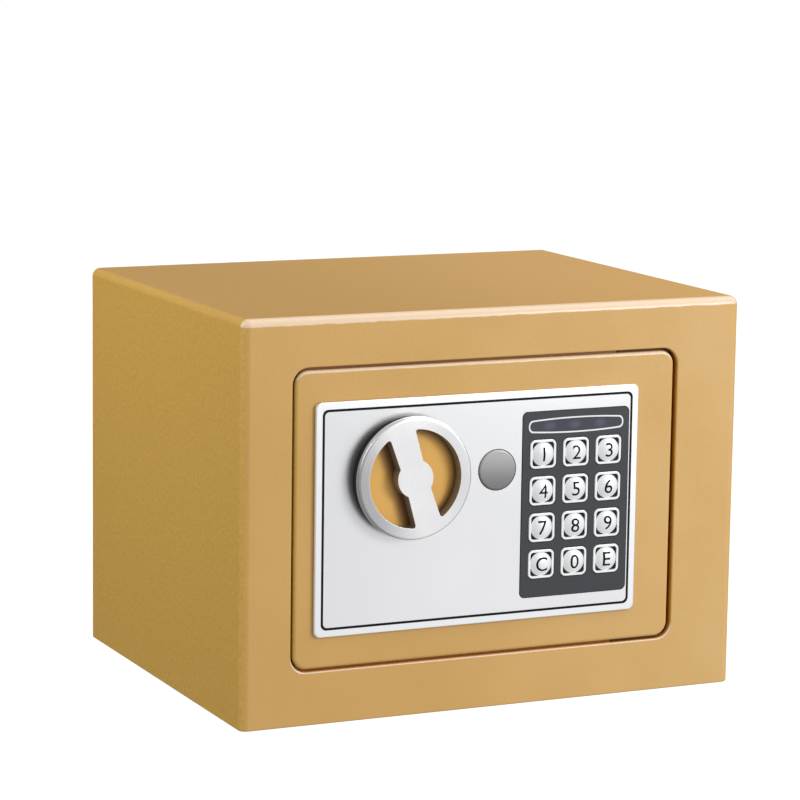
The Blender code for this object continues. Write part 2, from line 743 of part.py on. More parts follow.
def make_bolt_carrier(material, boltwork):
    """The slide: a slotted web, with a flange bent back at its end that holds the bolts."""
    right_low = stud_places()[1] + stroke + STUD_DIAMETER / 2 + 4 * MM
    right_high = pin_x + CRANK_PIN_DIAMETER / 2 + 6 * MM
    shelf = stud_z + STUD_DIAMETER / 2 + 6 * MM
    outline = [
        (flange_x, web_bottom), (right_low, web_bottom), (right_low, shelf),
        (right_high, shelf), (right_high, web_top), (flange_x, web_top),
    ]
    running = STUD_DIAMETER / 2 + SLIDE_GAP
    slots = [slot(x, x + stroke, stud_z, stud_z, running) for x in stud_places()]
    pin_lift = CRANK_RADIUS * (1 - cos(CRANK_SWING / 2))
    slots.append(slot(pin_x, pin_x, pin_z, pin_z + pin_lift, CRANK_PIN_DIAMETER / 2 + SLIDE_GAP))
    web = prism([outline, *slots], front + web_front, front + web_back)
    carrier = add("bolt_carrier", web, material, boltwork)
    flange = block(
        (flange_x - 0.01 * MM, flange_x + CARRIER_SHEET),
        (front + web_front - 0.01 * MM, front + bolt_inward + BOLT_DIAMETER / 2),
        (plunger_top + 0.5 * MM, web_top + 0.01 * MM),
    )
    boolean(carrier, flange, "UNION")


def make_bolts(material, boltwork):
    radius = BOLT_DIAMETER / 2
    chamfer = 1 * MM
    inner = flange_x - FIT_GAP
    profile = [
        (0, inner), (radius, inner), (radius, bolt_tip + chamfer), (radius - chamfer, bolt_tip),
        (0, bolt_tip),
    ]
    for name, z in (("bolt_upper", upper_bolt_z), ("bolt_lower", lower_bolt_z)):
        add(name, lathe(profile, at(0, bolt_inward, z), "x", 24), material, boltwork)


def make_guide_studs(material, door):
    radius = STUD_DIAMETER / 2
    head = radius + 1.5 * MM
    back = web_back + 2 * FIT_GAP
    front_end = DOOR_THICKNESS + FIT_GAP
    profile = [
        (0, back + 1.5 * MM), (head, back + 1.5 * MM), (head, back), (radius, back),
        (radius, front_end), (0, front_end),
    ]
    for name, x in zip(("guide_stud_left", "guide_stud_right"), stud_places()):
        add(name, lathe(profile, (x, front, stud_z), "y", 16), material, door)


def make_solenoid(frame_material, coil_material, door):
    half = COIL_DIAMETER / 2 + FIT_GAP + SOLENOID_WALL
    outer = [
        (plunger_x - half, solenoid_bottom), (plunger_x + half, solenoid_bottom),
        (plunger_x + half, solenoid_top), (plunger_x - half, solenoid_top),
    ]
    inner = [
        (plunger_x - half + SOLENOID_WALL, solenoid_bottom + SOLENOID_WALL),
        (plunger_x + half - SOLENOID_WALL, solenoid_bottom + SOLENOID_WALL),
        (plunger_x + half - SOLENOID_WALL, solenoid_top - SOLENOID_WALL),
        (plunger_x - half + SOLENOID_WALL, solenoid_top - SOLENOID_WALL),
    ]
    depth = plunger_inward + COIL_DIAMETER / 2
    yoke = prism([outer, inner], front + DOOR_THICKNESS + FIT_GAP, front + depth)
    frame = add("solenoid_frame", yoke, frame_material, door)
    bore = PLUNGER_DIAMETER / 2 + SLIDE_GAP
    place = at(plunger_x, plunger_inward, 0)
    boolean(frame, rod(place, bore, solenoid_top - 2 * SOLENOID_WALL, solenoid_top + PAST, "z"))
    low = solenoid_bottom + SOLENOID_WALL + FIT_GAP
    high = solenoid_top - SOLENOID_WALL - FIT_GAP
    ring = [(bore, low), (COIL_DIAMETER / 2, low), (COIL_DIAMETER / 2, high), (bore, high)]
    add("solenoid_coil", lathe(ring, place, "z", 20), coil_material, door)


def collar_low():
    return plunger_top - 2.5 * MM


def make_plunger(material, door):
    radius = PLUNGER_DIAMETER / 2
    collar = radius + 1.6 * MM
    low = solenoid_bottom + SOLENOID_WALL + 2 * FIT_GAP
    profile = [
        (0, plunger_top), (radius, plunger_top), (radius, collar_low() + MM),
        (collar, collar_low() + MM), (collar, collar_low()), (radius, collar_low()),
        (radius, low), (0, low),
    ]
    place = at(plunger_x, plunger_inward, 0)
    origin = at(plunger_x, plunger_inward, plunger_top)
    add("solenoid_plunger", lathe(profile, place, "z", 16), material, door, origin)


def make_plunger_spring(material, door):
    """The compression spring between the solenoid's yoke and the plunger's collar."""
    radius = PLUNGER_DIAMETER / 2 + SLIDE_GAP + SPRING_WIRE
    low = solenoid_top + SPRING_WIRE / 2 + FIT_GAP
    high = collar_low() - SPRING_WIRE / 2 - FIT_GAP
    turns, steps = 3.5, 14
    count = int(turns * steps)
    points = [
        at(
            plunger_x + radius * cos(2 * pi * i / steps),
            plunger_inward + radius * sin(2 * pi * i / steps),
            low + (high - low) * i / count,
        )
        for i in range(count + 1)
    ]
    tube("plunger_spring", points, SPRING_WIRE, material, door, 1)


# Emergency lock


def make_key_cover_cap(material, door):
    """The press-in cap that hides the emergency keyhole."""
    radius = COVER_CAP_DIAMETER / 2
    face = plate_face - 0.6 * MM
    back = -2 * FIT_GAP
    edge = 0.4 * MM
    profile = [
        (0, face + CAP_THICKNESS), (radius - 1.2 * MM, face + CAP_THICKNESS),
        (radius - 1.2 * MM, back), (radius, back), (radius, face + edge), (radius - edge, face),
        (0, face),
    ]
    cap = lathe(profile, (cap_x, front, lock_z), "y", 32)
    add("key_cover_cap", cap, material, door, at(cap_x, face, lock_z))


def barrel_front():
    return plate_face + CAP_THICKNESS


def make_key_barrel(material, door):
    outer = BARREL_DIAMETER / 2
    bore = PLUG_DIAMETER / 2 + SLIDE_GAP
    start = barrel_front()
    end = start + BARREL_LENGTH
    ring = [(bore, start), (outer, start), (outer, end), (bore, end)]
    add("key_barrel", lathe(ring, (cap_x, front, lock_z), "y", 28), material, door)


def make_key_plug(material, key_axis):
    end = barrel_front() + BARREL_LENGTH + FIT_GAP
    place = (cap_x, front, lock_z)
    plug = rod(place, PLUG_DIAMETER / 2, barrel_front(), end, "y", 24)
    keyed = add("key_plug", plug, material, key_axis)
    half, height = KEYWAY_WIDTH / 2, PLUG_DIAMETER / 2 - 1 * MM
    boolean(
        keyed,
        block(
            (cap_x - half, cap_x + half),
            (front - PAST, front + barrel_front() + 0.7 * BARREL_LENGTH),
            (lock_z - height, lock_z + height),
        ),
    )


def make_key_tongue(material, key_axis):
    """The flat tongue on the plug's end that frees the bolts when the key turns."""
    half = TONGUE_WIDTH / 2
    start = barrel_front() + BARREL_LENGTH + 2 * FIT_GAP
    outline = arc((cap_x, lock_z), half, pi, 2 * pi, 8)
    outline += arc((cap_x, lock_z + TONGUE_LENGTH - half), half, 0, pi, 8)
    tongue = prism([outline], front + start, front + start + 1.5 * MM)
    add("key_tongue", tongue, material, key_axis)


# Back cover, batteries and reset


def tray_span(inset):
    return (tray_left + inset, tray_right - inset, tray_bottom + inset, tray_top - inset)


def screw_places():
    """The cover's corners, but the lower right screw stands above the battery tray."""
    left, right = cover_left + COVER_SCREW_INSET, cover_right - COVER_SCREW_INSET
    low, high = cover_bottom + COVER_SCREW_INSET, cover_top - COVER_SCREW_INSET
    return ((left, low), (left, high), (right, tray_top + COVER_SCREW_INSET), (right, high))


def reset_place():
    return (pad_x, (max(tray_top, lock_z) + cover_top) / 2)


def make_back_cover(material, door):
    """A pressed tray over the mechanism, pierced for the bolts, batteries and reset button."""
    start = front + DOOR_THICKNESS + FIT_GAP
    outline = rounded_rectangle(cover_left, cover_right, cover_bottom, cover_top, 3 * MM, 3)
    cover = add("back_cover", prism([outline], start, front + cover_back), material, door)
    hollow = rounded_rectangle(
        cover_left + COVER_SHEET, cover_right - COVER_SHEET, cover_bottom + COVER_SHEET,
        cover_top - COVER_SHEET, 1.8 * MM, 3,
    )
    boolean(cover, prism([hollow], start - PAST, front + cover_inside))
    hatch = rounded_rectangle(*tray_span(TRAY_WALL), 1 * MM, 2)
    boolean(cover, prism([hatch], front + cover_inside - PAST / 5, front + cover_back + PAST))
    for z in (upper_bolt_z, lower_bolt_z):
        clear = BOLT_DIAMETER / 2 + SLIDE_GAP
        place = at(0, bolt_inward, z)
        boolean(cover, rod(place, clear, cover_left - PAST, cover_left + PAST / 2, "x"))
    drills = [(x, z, SCREW_DIAMETER / 2 + SLIDE_GAP) for x, z in screw_places()]
    drills.append((*reset_place(), RESET_DIAMETER / 2 + SLIDE_GAP))
    for x, z, radius in drills:
        boolean(cover, rod((x, front, z), radius, cover_inside - MM, cover_back + MM, "y", 16))


def make_cover_screws(material, door):
    shank, head = SCREW_DIAMETER / 2, SCREW_HEAD_DIAMETER / 2
    under = cover_back + FIT_GAP
    top = under + SCREW_HEAD_HEIGHT
    tip = DOOR_THICKNESS + FIT_GAP
    profile = [
        (0, top), (head * 0.6, top), (head, under + SCREW_HEAD_HEIGHT / 3), (head, under),
        (shank, under), (shank, tip), (0, tip),
    ]
    for i, (x, z) in enumerate(screw_places()):
        add(f"cover_screw_{i + 1}", lathe(profile, (x, front, z), "y", 14), material, door)


def make_battery_tray(material, door):
    left, right, low, high = tray_span(0)
    outer = block((left, right), (front + tray_front, front + tray_back), (low, high))
    tray = add("battery_tray", outer, material, door)
    left, right, low, high = tray_span(TRAY_WALL)
    bay = block((left, right), (front + tray_front + TRAY_WALL, front + tray_back + PAST), (low, high))
    boolean(tray, bay)


def make_batteries(material, door):
    """Round cells standing side by side, each with its positive nub alternately up or down."""
    radius = CELL_DIAMETER / 2
    nub, nub_height = 2.7 * MM, 1 * MM
    low = tray_bottom + TRAY_WALL + CONTACT_ROOM
    high = low + CELL_LENGTH
    for i in range(CELL_COUNT):
        x = tray_left + TRAY_WALL + CELL_GAP + (i + 0.5) * (CELL_DIAMETER + CELL_GAP) - CELL_GAP / 2
        ends = (low, high - nub_height, high) if i % 2 == 0 else (high, low + nub_height, low)
        flat, shoulder, tip = ends
        profile = [
            (0, flat), (radius, flat), (radius, shoulder), (nub, shoulder), (nub, tip), (0, tip)
        ]
        cell = lathe(profile, at(x, cell_inward, 0), "z", 18)
        add(f"battery_{i + 1}", cell, material, door)


def make_battery_lid(material, door):
    left, right, low, high = tray_span(-LID_OVERLAP + TRAY_WALL)
    right = min(right, cover_right)
    outline = rounded_rectangle(left, right, low, high, 2 * MM, 3)
    start = cover_back + FIT_GAP
    lid = prism([outline], front + start, front + start + LID_THICKNESS)
    add("battery_lid", lid, material, door, at((left + right) / 2, start, (low + high) / 2))


def make_reset(button_material, switch_material, door):
    x, z = reset_place()
    radius = RESET_DIAMETER / 2
    flange = radius + 1.2 * MM
    outside = cover_back + RESET_STANDS
    inside = cover_inside - FIT_GAP
    root = inside - 1 * MM
    profile = [
        (0, outside), (radius - 0.5 * MM, outside), (radius, outside - 0.5 * MM),
        (radius, inside), (flange, inside), (flange, root), (0, root),
    ]
    button = lathe(profile, (x, front, z), "y", 20)
    add("reset_button", button, button_material, door, at(x, outside, z))
    half = 6 * MM
    switch_back = root - RESET_TRAVEL - FIT_GAP
    body = block(
        (x - half, x + half), (front + board_back + 2 * MM, front + switch_back), (z - half, z + half)
    )
    add("reset_switch", body, switch_material, door)


def make_leads(material, door):
    """Sleeved leads from the keypad board to the battery tray and to the solenoid."""
    board_x = pad_left + BOARD_INSET + 8 * MM
    start = board_back + FIT_GAP
    above_tray = tray_top + FIT_GAP
    battery_route = [
        at(board_x, start + 0.1 * MM, tray_top + 14 * MM),
        at(board_x, start + 3 * MM, tray_top + 14 * MM),
        at(board_x, start + 8 * MM, tray_top + 10 * MM),
        at(board_x, cell_inward, above_tray + 4 * MM),
        at(board_x, cell_inward, above_tray),
    ]
    tube("battery_lead", smooth_route(battery_route, 5), LEAD_DIAMETER, material, door)
    half = COIL_DIAMETER / 2 + FIT_GAP + SOLENOID_WALL
    solenoid_z = (solenoid_bottom + solenoid_top) / 2
    low_z = solenoid_bottom + 4 * MM
    end_x = plunger_x + half + FIT_GAP
    between = (board_back + tray_front) / 2
    foot_z = pad_bottom + BOARD_INSET + 7 * MM
    solenoid_route = [
        at(board_x - 2 * MM, start + 0.1 * MM, foot_z),
        at(board_x - 2 * MM, start + 1 * MM, foot_z),
        at(board_x - 2.5 * MM, between, foot_z - 3 * MM),
        at(board_x - 8 * MM, between, foot_z - 7 * MM),
        at(tray_left - 2 * MM, between, foot_z - 9 * MM),
        at(tray_left - 14 * MM, between + 3 * MM, low_z + 7 * MM),
        at(tray_left - 26 * MM, plunger_inward - 3 * MM, low_z + 2 * MM),
        at((tray_left + end_x) / 2 - 6 * MM, plunger_inward - 1 * MM, low_z),
        at(end_x + 10 * MM, plunger_inward, solenoid_z - 1 * MM),
        at(end_x + 4 * MM, plunger_inward, solenoid_z),
        at(end_x, plunger_inward, solenoid_z),
    ]
    tube("solenoid_lead", smooth_route(solenoid_route, 5), LEAD_DIAMETER, material, door)


def build():
    clear_scene()
    body_paint = metal("body_paint", (0.55, 0.32, 0.11), 0.35, 0.0)
    felt = metal("felt", (0.03, 0.03, 0.035), 0.95, 0.0)
    zinc = metal("zinc_plated_steel", (0.62, 0.62, 0.60), 0.35)
    satin = metal("satin_plate", (0.78, 0.78, 0.78), 0.35, 0.6)
    chrome = metal("satin_chrome", (0.85, 0.85, 0.86), 0.22)
    dark_plastic = metal("dark_plastic", (0.06, 0.065, 0.075), 0.45, 0.0)
    key_silver = metal("key_silver", (0.82, 0.83, 0.84), 0.3, 0.3)
    smoked = metal("smoked_lens", (0.02, 0.025, 0.05), 0.1, 0.0)
    board_green = metal("circuit_board", (0.02, 0.17, 0.06), 0.5, 0.0)
    cap_grey = metal("cap_grey", (0.28, 0.28, 0.29), 0.35, 0.5)
    brass = metal("brass", (0.72, 0.53, 0.22), 0.3)
    winding = metal("coil_winding", (0.55, 0.13, 0.05), 0.5, 0.2)
    cell_wrap = metal("cell_wrap", (0.05, 0.09, 0.2), 0.4, 0.2)
    red = metal("red_plastic", (0.6, 0.02, 0.02), 0.4, 0.0)
    lead_black = metal("lead_sleeve", (0.015, 0.015, 0.015), 0.5, 0.0)
    led_colours = (("led_amber", (0.75, 0.4, 0.03)), ("led_green", (0.05, 0.5, 0.1)),
                   ("led_red", (0.65, 0.03, 0.03)))
    led_materials = [metal(name, colour, 0.2, 0.0) for name, colour in led_colours]

    make_body_shell(body_paint)
    make_base_panel(body_paint)
    make_back_panel(body_paint)
    make_floor_mat(felt)
    make_door_stop(body_paint)
    make_hinge_lugs(body_paint)

    door = axis_empty("door_hinge_axis", at(hinge_x, hinge_inward, (door_bottom + door_top) / 2))
    make_door_plate(body_paint, door)
    make_hinge_rod(zinc, door)
    make_control_plate(satin, door)
    make_keypad_bezel(dark_plastic, door)
    make_keys(key_silver, door)
    make_light_window(smoked, door)
    make_leds(led_materials, door)
    make_keypad_board(board_green, door)

    knob_axis = axis_empty("knob_axis", at(knob_x, 0, lock_z), door)
    make_knob(chrome, knob_axis)
    make_knob_insert(body_paint, knob_axis)
    make_spindle(zinc, knob_axis)
    make_spindle_cam(zinc, knob_axis)

    boltwork = axis_empty("boltwork", at(flange_x, bolt_inward, lock_z), door)
    make_bolt_carrier(zinc, boltwork)
    make_bolts(chrome, boltwork)
    make_guide_studs(zinc, door)
    make_solenoid(zinc, winding, door)
    make_plunger(brass, door)
    make_plunger_spring(zinc, door)

    key_axis = axis_empty("key_axis", at(cap_x, 0, lock_z), door)
    make_key_cover_cap(cap_grey, door)
    make_key_barrel(brass, door)
    make_key_plug(brass, key_axis)
    make_key_tongue(zinc, key_axis)

    make_back_cover(body_paint, door)
    make_cover_screws(zinc, door)
    make_battery_tray(dark_plastic, door)
    make_batteries(cell_wrap, door)
    make_battery_lid(dark_plastic, door)
    make_reset(red, dark_plastic, door)
    make_leads(lead_black, door)


build()
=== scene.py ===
import json
from math import acos, asin, copysign, cos, hypot, pi, radians, sin, sqrt

import bmesh
import bpy
from mathutils import Matrix, Vector

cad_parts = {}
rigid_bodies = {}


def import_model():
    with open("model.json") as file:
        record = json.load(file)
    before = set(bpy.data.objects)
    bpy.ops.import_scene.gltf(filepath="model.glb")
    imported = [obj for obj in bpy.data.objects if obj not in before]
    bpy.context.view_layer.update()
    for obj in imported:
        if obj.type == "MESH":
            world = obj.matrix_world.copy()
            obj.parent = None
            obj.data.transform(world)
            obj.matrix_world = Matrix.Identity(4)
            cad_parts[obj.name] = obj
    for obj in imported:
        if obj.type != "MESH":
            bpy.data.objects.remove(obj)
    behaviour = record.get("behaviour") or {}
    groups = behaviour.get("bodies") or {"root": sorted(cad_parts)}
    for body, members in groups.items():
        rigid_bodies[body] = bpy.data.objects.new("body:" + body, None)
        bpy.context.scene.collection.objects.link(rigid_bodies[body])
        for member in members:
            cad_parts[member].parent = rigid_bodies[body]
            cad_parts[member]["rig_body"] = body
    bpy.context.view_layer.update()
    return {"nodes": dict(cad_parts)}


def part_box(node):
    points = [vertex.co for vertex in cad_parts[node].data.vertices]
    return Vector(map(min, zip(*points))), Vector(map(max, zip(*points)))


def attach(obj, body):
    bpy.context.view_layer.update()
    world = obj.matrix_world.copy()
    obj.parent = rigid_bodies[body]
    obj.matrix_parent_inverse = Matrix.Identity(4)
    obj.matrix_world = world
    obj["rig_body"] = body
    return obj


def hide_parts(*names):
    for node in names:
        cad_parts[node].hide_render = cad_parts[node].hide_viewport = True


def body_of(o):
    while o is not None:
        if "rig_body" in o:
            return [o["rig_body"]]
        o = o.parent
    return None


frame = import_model()

# ---------------------------------------------------------------------------
# Studio. The safe stands on a pale light table in a white room. One broad soft
# box hangs over its front, one stands on its right, and its left side gets less.
# ---------------------------------------------------------------------------


RIGHT, FORWARD, UP = (1, 0, 0), (0, -1, 0), (0, 0, 1)


class Flow:
    """A value on its way through a node tree; sums with it add Math nodes."""

    def __init__(self, tree, socket=None):
        self.tree, self.socket = tree, socket

    def node(self, kind, settings=None, inputs=None, output=0):
        """A new node: its settings come first, then its sockets' values or links."""
        made = self.tree.nodes.new(kind)
        for key, value in (settings or {}).items():
            setattr(made, key, value)
        for key, value in (inputs or {}).items():
            if isinstance(value, Flow):
                self.tree.links.new(value.socket, made.inputs[key])
            else:
                made.inputs[key].default_value = value
        return Flow(self.tree, made.outputs[output] if made.outputs else None)

    def math(self, operation, *others):
        inputs = dict(enumerate((self, *others)))
        return self.node("ShaderNodeMath", {"operation": operation}, inputs)

    def __add__(self, other):
        return self.math("ADD", other)

    def __sub__(self, other):
        return self.math("SUBTRACT", other)

    def __mul__(self, other):
        return self.math("MULTIPLY", other)

    def __truediv__(self, other):
        return self.math("DIVIDE", other)

    def __rsub__(self, other):
        inputs = {0: other, 1: self}
        return self.node("ShaderNodeMath", {"operation": "SUBTRACT"}, inputs)

    __radd__, __rmul__ = __add__, __mul__

    def between(self, low, high):
        """This value stretched so that low gives 0 and high gives 1."""
        inputs = {0: self, 1: low, 2: high}
        return self.node("ShaderNodeMapRange", {"interpolation_type": "SMOOTHSTEP"}, inputs)

    def tint(self, low, high):
        """A colour that is low where this is 0 and high where it is 1."""
        settings = {"data_type": "RGBA"}
        return self.node("ShaderNodeMix", settings, {0: self, 6: low, 7: high}, 2)

    def vector(self, operation, other, output=0):
        settings = {"operation": operation}
        return self.node("ShaderNodeVectorMath", settings, {0: self, 1: other}, output)

    def along(self, direction):
        """How far this vector reaches along a direction."""
        return self.vector("DOT_PRODUCT", direction, "Value")

    def length(self):
        return self.node("ShaderNodeVectorMath", {"operation": "LENGTH"}, {0: self}, "Value")


def rgb(red, green, blue):
    """A colour given as it looks on a screen, 0 to 255, turned into light."""
    light = [((c / 255 + 0.055) / 1.055) ** 2.4 if c > 10 else c / 3295 for c in (red, green, blue)]
    return (*light, 1.0)


camera = bpy.data.objects.new("camera", bpy.data.cameras.new("camera"))
bpy.context.collection.objects.link(camera)
camera.data.lens, camera.data.sensor_width = 146.8, 36
camera.data.clip_start, camera.data.clip_end = 0.05, 50
CAMERA_PLACE = (-0.6032, -1.2873, 0.3498)
CAMERA_TURN, CAMERA_DROP, CAMERA_LEAN = -24.98, 9.29, 0.81  # degrees
aim = Matrix.Rotation(radians(CAMERA_TURN), 4, "Z")
aim = aim @ Matrix.Rotation(radians(90 - CAMERA_DROP), 4, "X")
aim = aim @ Matrix.Rotation(radians(CAMERA_LEAN), 4, "Z")
camera.matrix_world = Matrix.Translation(CAMERA_PLACE) @ aim
bpy.context.scene.camera = camera
bpy.context.scene.view_settings.view_transform = "Standard"

room = bpy.data.worlds.new("studio_room")
room.use_nodes = True
room.node_tree.nodes.clear()
air = Flow(room.node_tree)
toward = air.node("ShaderNodeTexCoord", output="Generated")
ahead = toward.along(FORWARD).between(-0.3, 0.6)
above = toward.along(UP).between(0.15, 0.9)
left = toward.along((-1, 0, 0)).between(0.2, 1.0) * (1.0 - ahead)
horizon = toward.along(UP).between(-0.1, 0.15)
right = toward.along(RIGHT).between(0.0, 0.45) * ahead
brightness = 0.05 + 0.08 * horizon + 0.5 * ahead + 0.32 * right
brightness = brightness + 0.2 * above + 0.25 * left
glow = air.node("ShaderNodeBackground", {}, {0: (1, 1, 1, 1), 1: brightness})
air.node("ShaderNodeOutputWorld", {}, {0: glow})
bpy.context.scene.world = room


def soft_box(name, place, aimed_at, size, radiance):
    """A rectangular lamp that is equally bright at any size."""
    lamp = bpy.data.lights.new(name, "AREA")
    lamp.shape, lamp.size, lamp.size_y = "RECTANGLE", *size
    lamp.energy = radiance * pi * size[0] * size[1]
    stand = bpy.data.objects.new(name, lamp)
    bpy.context.collection.objects.link(stand)
    turn = (Vector(aimed_at) - Vector(place)).to_track_quat("-Z", "Y")
    stand.matrix_world = Matrix.Translation(place) @ turn.to_matrix().to_4x4()


soft_box("overhead_box", (0.55, -0.15, 0.9), (0.05, -0.08, 0.15), (0.7, 0.9), 1.85)
soft_box("right_box", (0.6, -0.9, 0.4), (0.1, -0.09, 0.08), (0.34, 0.4), 10.5)
soft_box("left_box", (-0.55, 0.05, 0.42), (-0.115, 0.0, 0.12), (0.4, 0.4), 3.4)
soft_box("back_fill", (0.2, 1.3, 0.5), (0.0, 0.09, 0.08), (0.8, 0.6), 1.6)
bpy.data.objects["back_fill"].visible_glossy = False

TABLE_RADIUS, TABLE_GLOW = 12, 0.85
table = bmesh.new()
bmesh.ops.create_circle(table, cap_ends=True, radius=TABLE_RADIUS, segments=96)
table_mesh = bpy.data.meshes.new("light_table")
table.to_mesh(table_mesh)
table_top = bpy.data.objects.new("light_table", table_mesh)
bpy.context.collection.objects.link(table_top)
table_top.visible_glossy = table_top.visible_diffuse = False
white = bpy.data.materials.new("light_table")
white.use_nodes = True
white.node_tree.nodes.clear()
sheet = Flow(white.node_tree)
plain = sheet.node("ShaderNodeBsdfDiffuse", {}, {0: (0.3, 0.3, 0.3, 1)})
lit = sheet.node("ShaderNodeEmission", {}, {0: (1, 1, 1, 1), 1: TABLE_GLOW})
both = sheet.node("ShaderNodeAddShader", {}, {0: plain, 1: lit})
sheet.node("ShaderNodeOutputMaterial", {}, {0: both})
table_mesh.materials.append(white)

# ---------------------------------------------------------------------------
# Body. Front, sides and top are bent from one steel sheet and sprayed with a
# thick gold hammer paint, which dries with a fine wrinkle and rounds the edges.
# ---------------------------------------------------------------------------


def finish(name, **principled):
    """A new material whose Principled shader has these plain values."""
    made = bpy.data.materials.new(name)
    made.use_nodes = True
    made.node_tree.nodes.clear()
    flow = Flow(made.node_tree)
    inputs = {key.replace("_", " "): value for key, value in principled.items()}
    surface = flow.node("ShaderNodeBsdfPrincipled", {}, inputs)
    flow.node("ShaderNodeOutputMaterial", {}, {0: surface})
    return made, flow, surface.socket.node


def where(flow):
    """The place on the piece, in metres."""
    return flow.node("ShaderNodeTexCoord", output="Object")


def noise(flow, size, detail=2.0, roughness=0.5, place=None):
    """Soft random patches about size metres across, from 0 to 1."""
    inputs = {
        "Vector": place or where(flow), "Scale": 1 / size, "Detail": detail, "Roughness": roughness,
    }
    return flow.node("ShaderNodeTexNoise", {}, inputs)


def feed(flow, shader, socket, value):
    flow.tree.links.new(value.socket, shader.inputs[socket])


def relief(flow, shader, height, depth):
    """Lets a height from 0 to 1 stand depth metres out of the surface."""
    inputs = {"Height": height, "Distance": depth, "Strength": 1.0}
    feed(flow, shader, "Normal", flow.node("ShaderNodeBump", {}, inputs))


low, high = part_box("body_shell")
shell_front = low.y
door_low, door_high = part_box("door_plate")
DOORWAY_GAPS = (0.001, 0.0018, 0.0012)  # latch side, hinge side, above and below
doorway_low = (door_low.x - DOORWAY_GAPS[0], door_low.z - DOORWAY_GAPS[2])
doorway_high = (door_high.x + DOORWAY_GAPS[1], door_high.z + DOORWAY_GAPS[2])


def gold_paint(name, wrinkle, highlight_band=None):
    """Thick gold paint; the third argument is how far up an edge looks where its painted highlight
    starts and ends.
    """
    made, flow, shader = finish(name, IOR=1.5, Coat_Roughness=0.18, Coat_IOR=1.8)
    place = where(flow)
    cloud = noise(flow, 0.045, 3.0, place=place).between(0.3, 0.7)
    fine = noise(flow, 0.0016, 2.0, 0.55, place)
    broad = noise(flow, 0.0055, 1.5, 0.5, place)
    gold = cloud.tint(rgb(198, 154, 82), rgb(203, 158, 86))
    height = 0.65 * fine + 0.35 * broad
    if highlight_band:
        facing = flow.node("ShaderNodeTexCoord", output="Normal")
        front = facing.along(FORWARD).between(0.4, 0.9)
        flank = facing.along(RIGHT).math("ABSOLUTE").between(0.3, 0.8)
        olive = fine.between(0.3, 0.7).tint(rgb(202, 158, 70), rgb(212, 168, 79))
        gold = flank.tint(gold, olive)
        # Painted highlight: the front is tinted paler towards the right, a painted sheen.
        right_painted_sheen = place.along(RIGHT).between(-0.06, 0.13) * front
        right_painted_sheen = right_painted_sheen * (0.7 + 0.5 * (cloud - 0.5))
        gold = right_painted_sheen.tint(gold, rgb(208, 168, 106))
        height = height * (1.3 - 0.5 * front)
        up = facing.along(UP)
        # Painted light: the top is tinted darker towards the left and paler towards the right.
        across = place.along(RIGHT).between(-0.11, 0.12)
        top_painted_light = across.tint(rgb(191, 148, 78), rgb(215, 169, 99))
        gold = up.between(0.9, 0.98).tint(gold, top_painted_light)
        # Painted highlight: rounded edges that face up and forwards are tinted pale cream and given
        # more coat, in place of the overhead soft box's reflection.
        edge = (up + 0.35 * (broad - 0.5)).between(*highlight_band) * up.between(0.01, 0.03)
        edge = edge * (1.0 - up.between(0.965, 0.985))
        edge = edge * facing.along(FORWARD).between(0.05, 0.2)
        gold = (0.85 * edge).tint(gold, rgb(226, 200, 172))
        feed(flow, shader, "Coat Weight", 0.1 + 0.12 * edge)
    feed(flow, shader, "Roughness", 0.4 + 0.12 * fine)
    relief(flow, shader, height, wrinkle)
    return made, flow, shader, place, gold


GAP_SHADE_FADE = 0.0003


def paint_gap_shade(flow, shader, place, gold):
    """Paints shade into the body's paint behind the doorway's rim: gold goes to a dark brown
    painted shade, and near black on the latch side.
    """
    x, z = place.along(RIGHT), place.along(UP)
    depth = place.along((0, 1, 0)) - shell_front
    gap = depth.between(0.0006, 0.0013) * (1.0 - depth.between(0.0064, 0.0065))
    for along, corner in ((x, doorway_low[0]), (z, doorway_low[1])):
        gap = gap * along.between(corner - 2 * GAP_SHADE_FADE, corner - GAP_SHADE_FADE)
    for along, corner in ((x, doorway_high[0] + 0.0015), (z, doorway_high[1])):
        gap = gap * (1.0 - along.between(corner + GAP_SHADE_FADE, corner + 2 * GAP_SHADE_FADE))
    # Painted shade: behind the rim the paint goes dark brown, darker with depth, and near black on
    # the latch side; the brown part is also made metallic.
    beside = x.between(doorway_low[0] + 0.0015, doorway_low[0] + 0.004)
    brown = depth.between(0.0006, 0.0042).tint(rgb(224, 150, 52), rgb(150, 92, 20))
    gap_shade = beside.tint(rgb(14, 6, 3), brown)
    feed(flow, shader, "Base Color", gap.tint(gold, gap_shade))
    feed(flow, shader, "Metallic", gap * (1.0 - beside))


WRINKLE = 0.00014
body_paint, *gold_parts = gold_paint("gold_hammer_paint", WRINKLE, (0.04, 0.12))
paint_gap_shade(*gold_parts)
door_paint, flow, shader, place, gold = gold_paint("gold_door_paint", WRINKLE, (0.12, 0.3))
feed(flow, shader, "Base Color", gold)


def piece(name, shape, materials, body, *stands_for, slot=None, smooth=35):
    """Makes a bmesh into an object that rides on a body in place of CAD nodes."""
    mesh = bpy.data.meshes.new(name)
    shape.to_mesh(mesh)
    shape.free()
    for material in materials if isinstance(materials, (list, tuple)) else (materials,):
        mesh.materials.append(material)
    if smooth:
        mesh.shade_smooth()
        mesh.set_sharp_from_angle(angle=radians(smooth))
    made = bpy.data.objects.new(name, mesh)
    bpy.context.collection.objects.link(made)
    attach(made, body)
    if stands_for:
        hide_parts(*stands_for)
    if smooth:
        level = made.modifiers.new("level_faces", "WEIGHTED_NORMAL")
        level.keep_sharp = True
    return made


def before_levelling(made):
    """Puts the newest modifier before the one that levels the shading of flat faces."""
    names = [modifier.name for modifier in made.modifiers]
    if "level_faces" in names:
        made.modifiers.move(len(names) - 1, names.index("level_faces"))


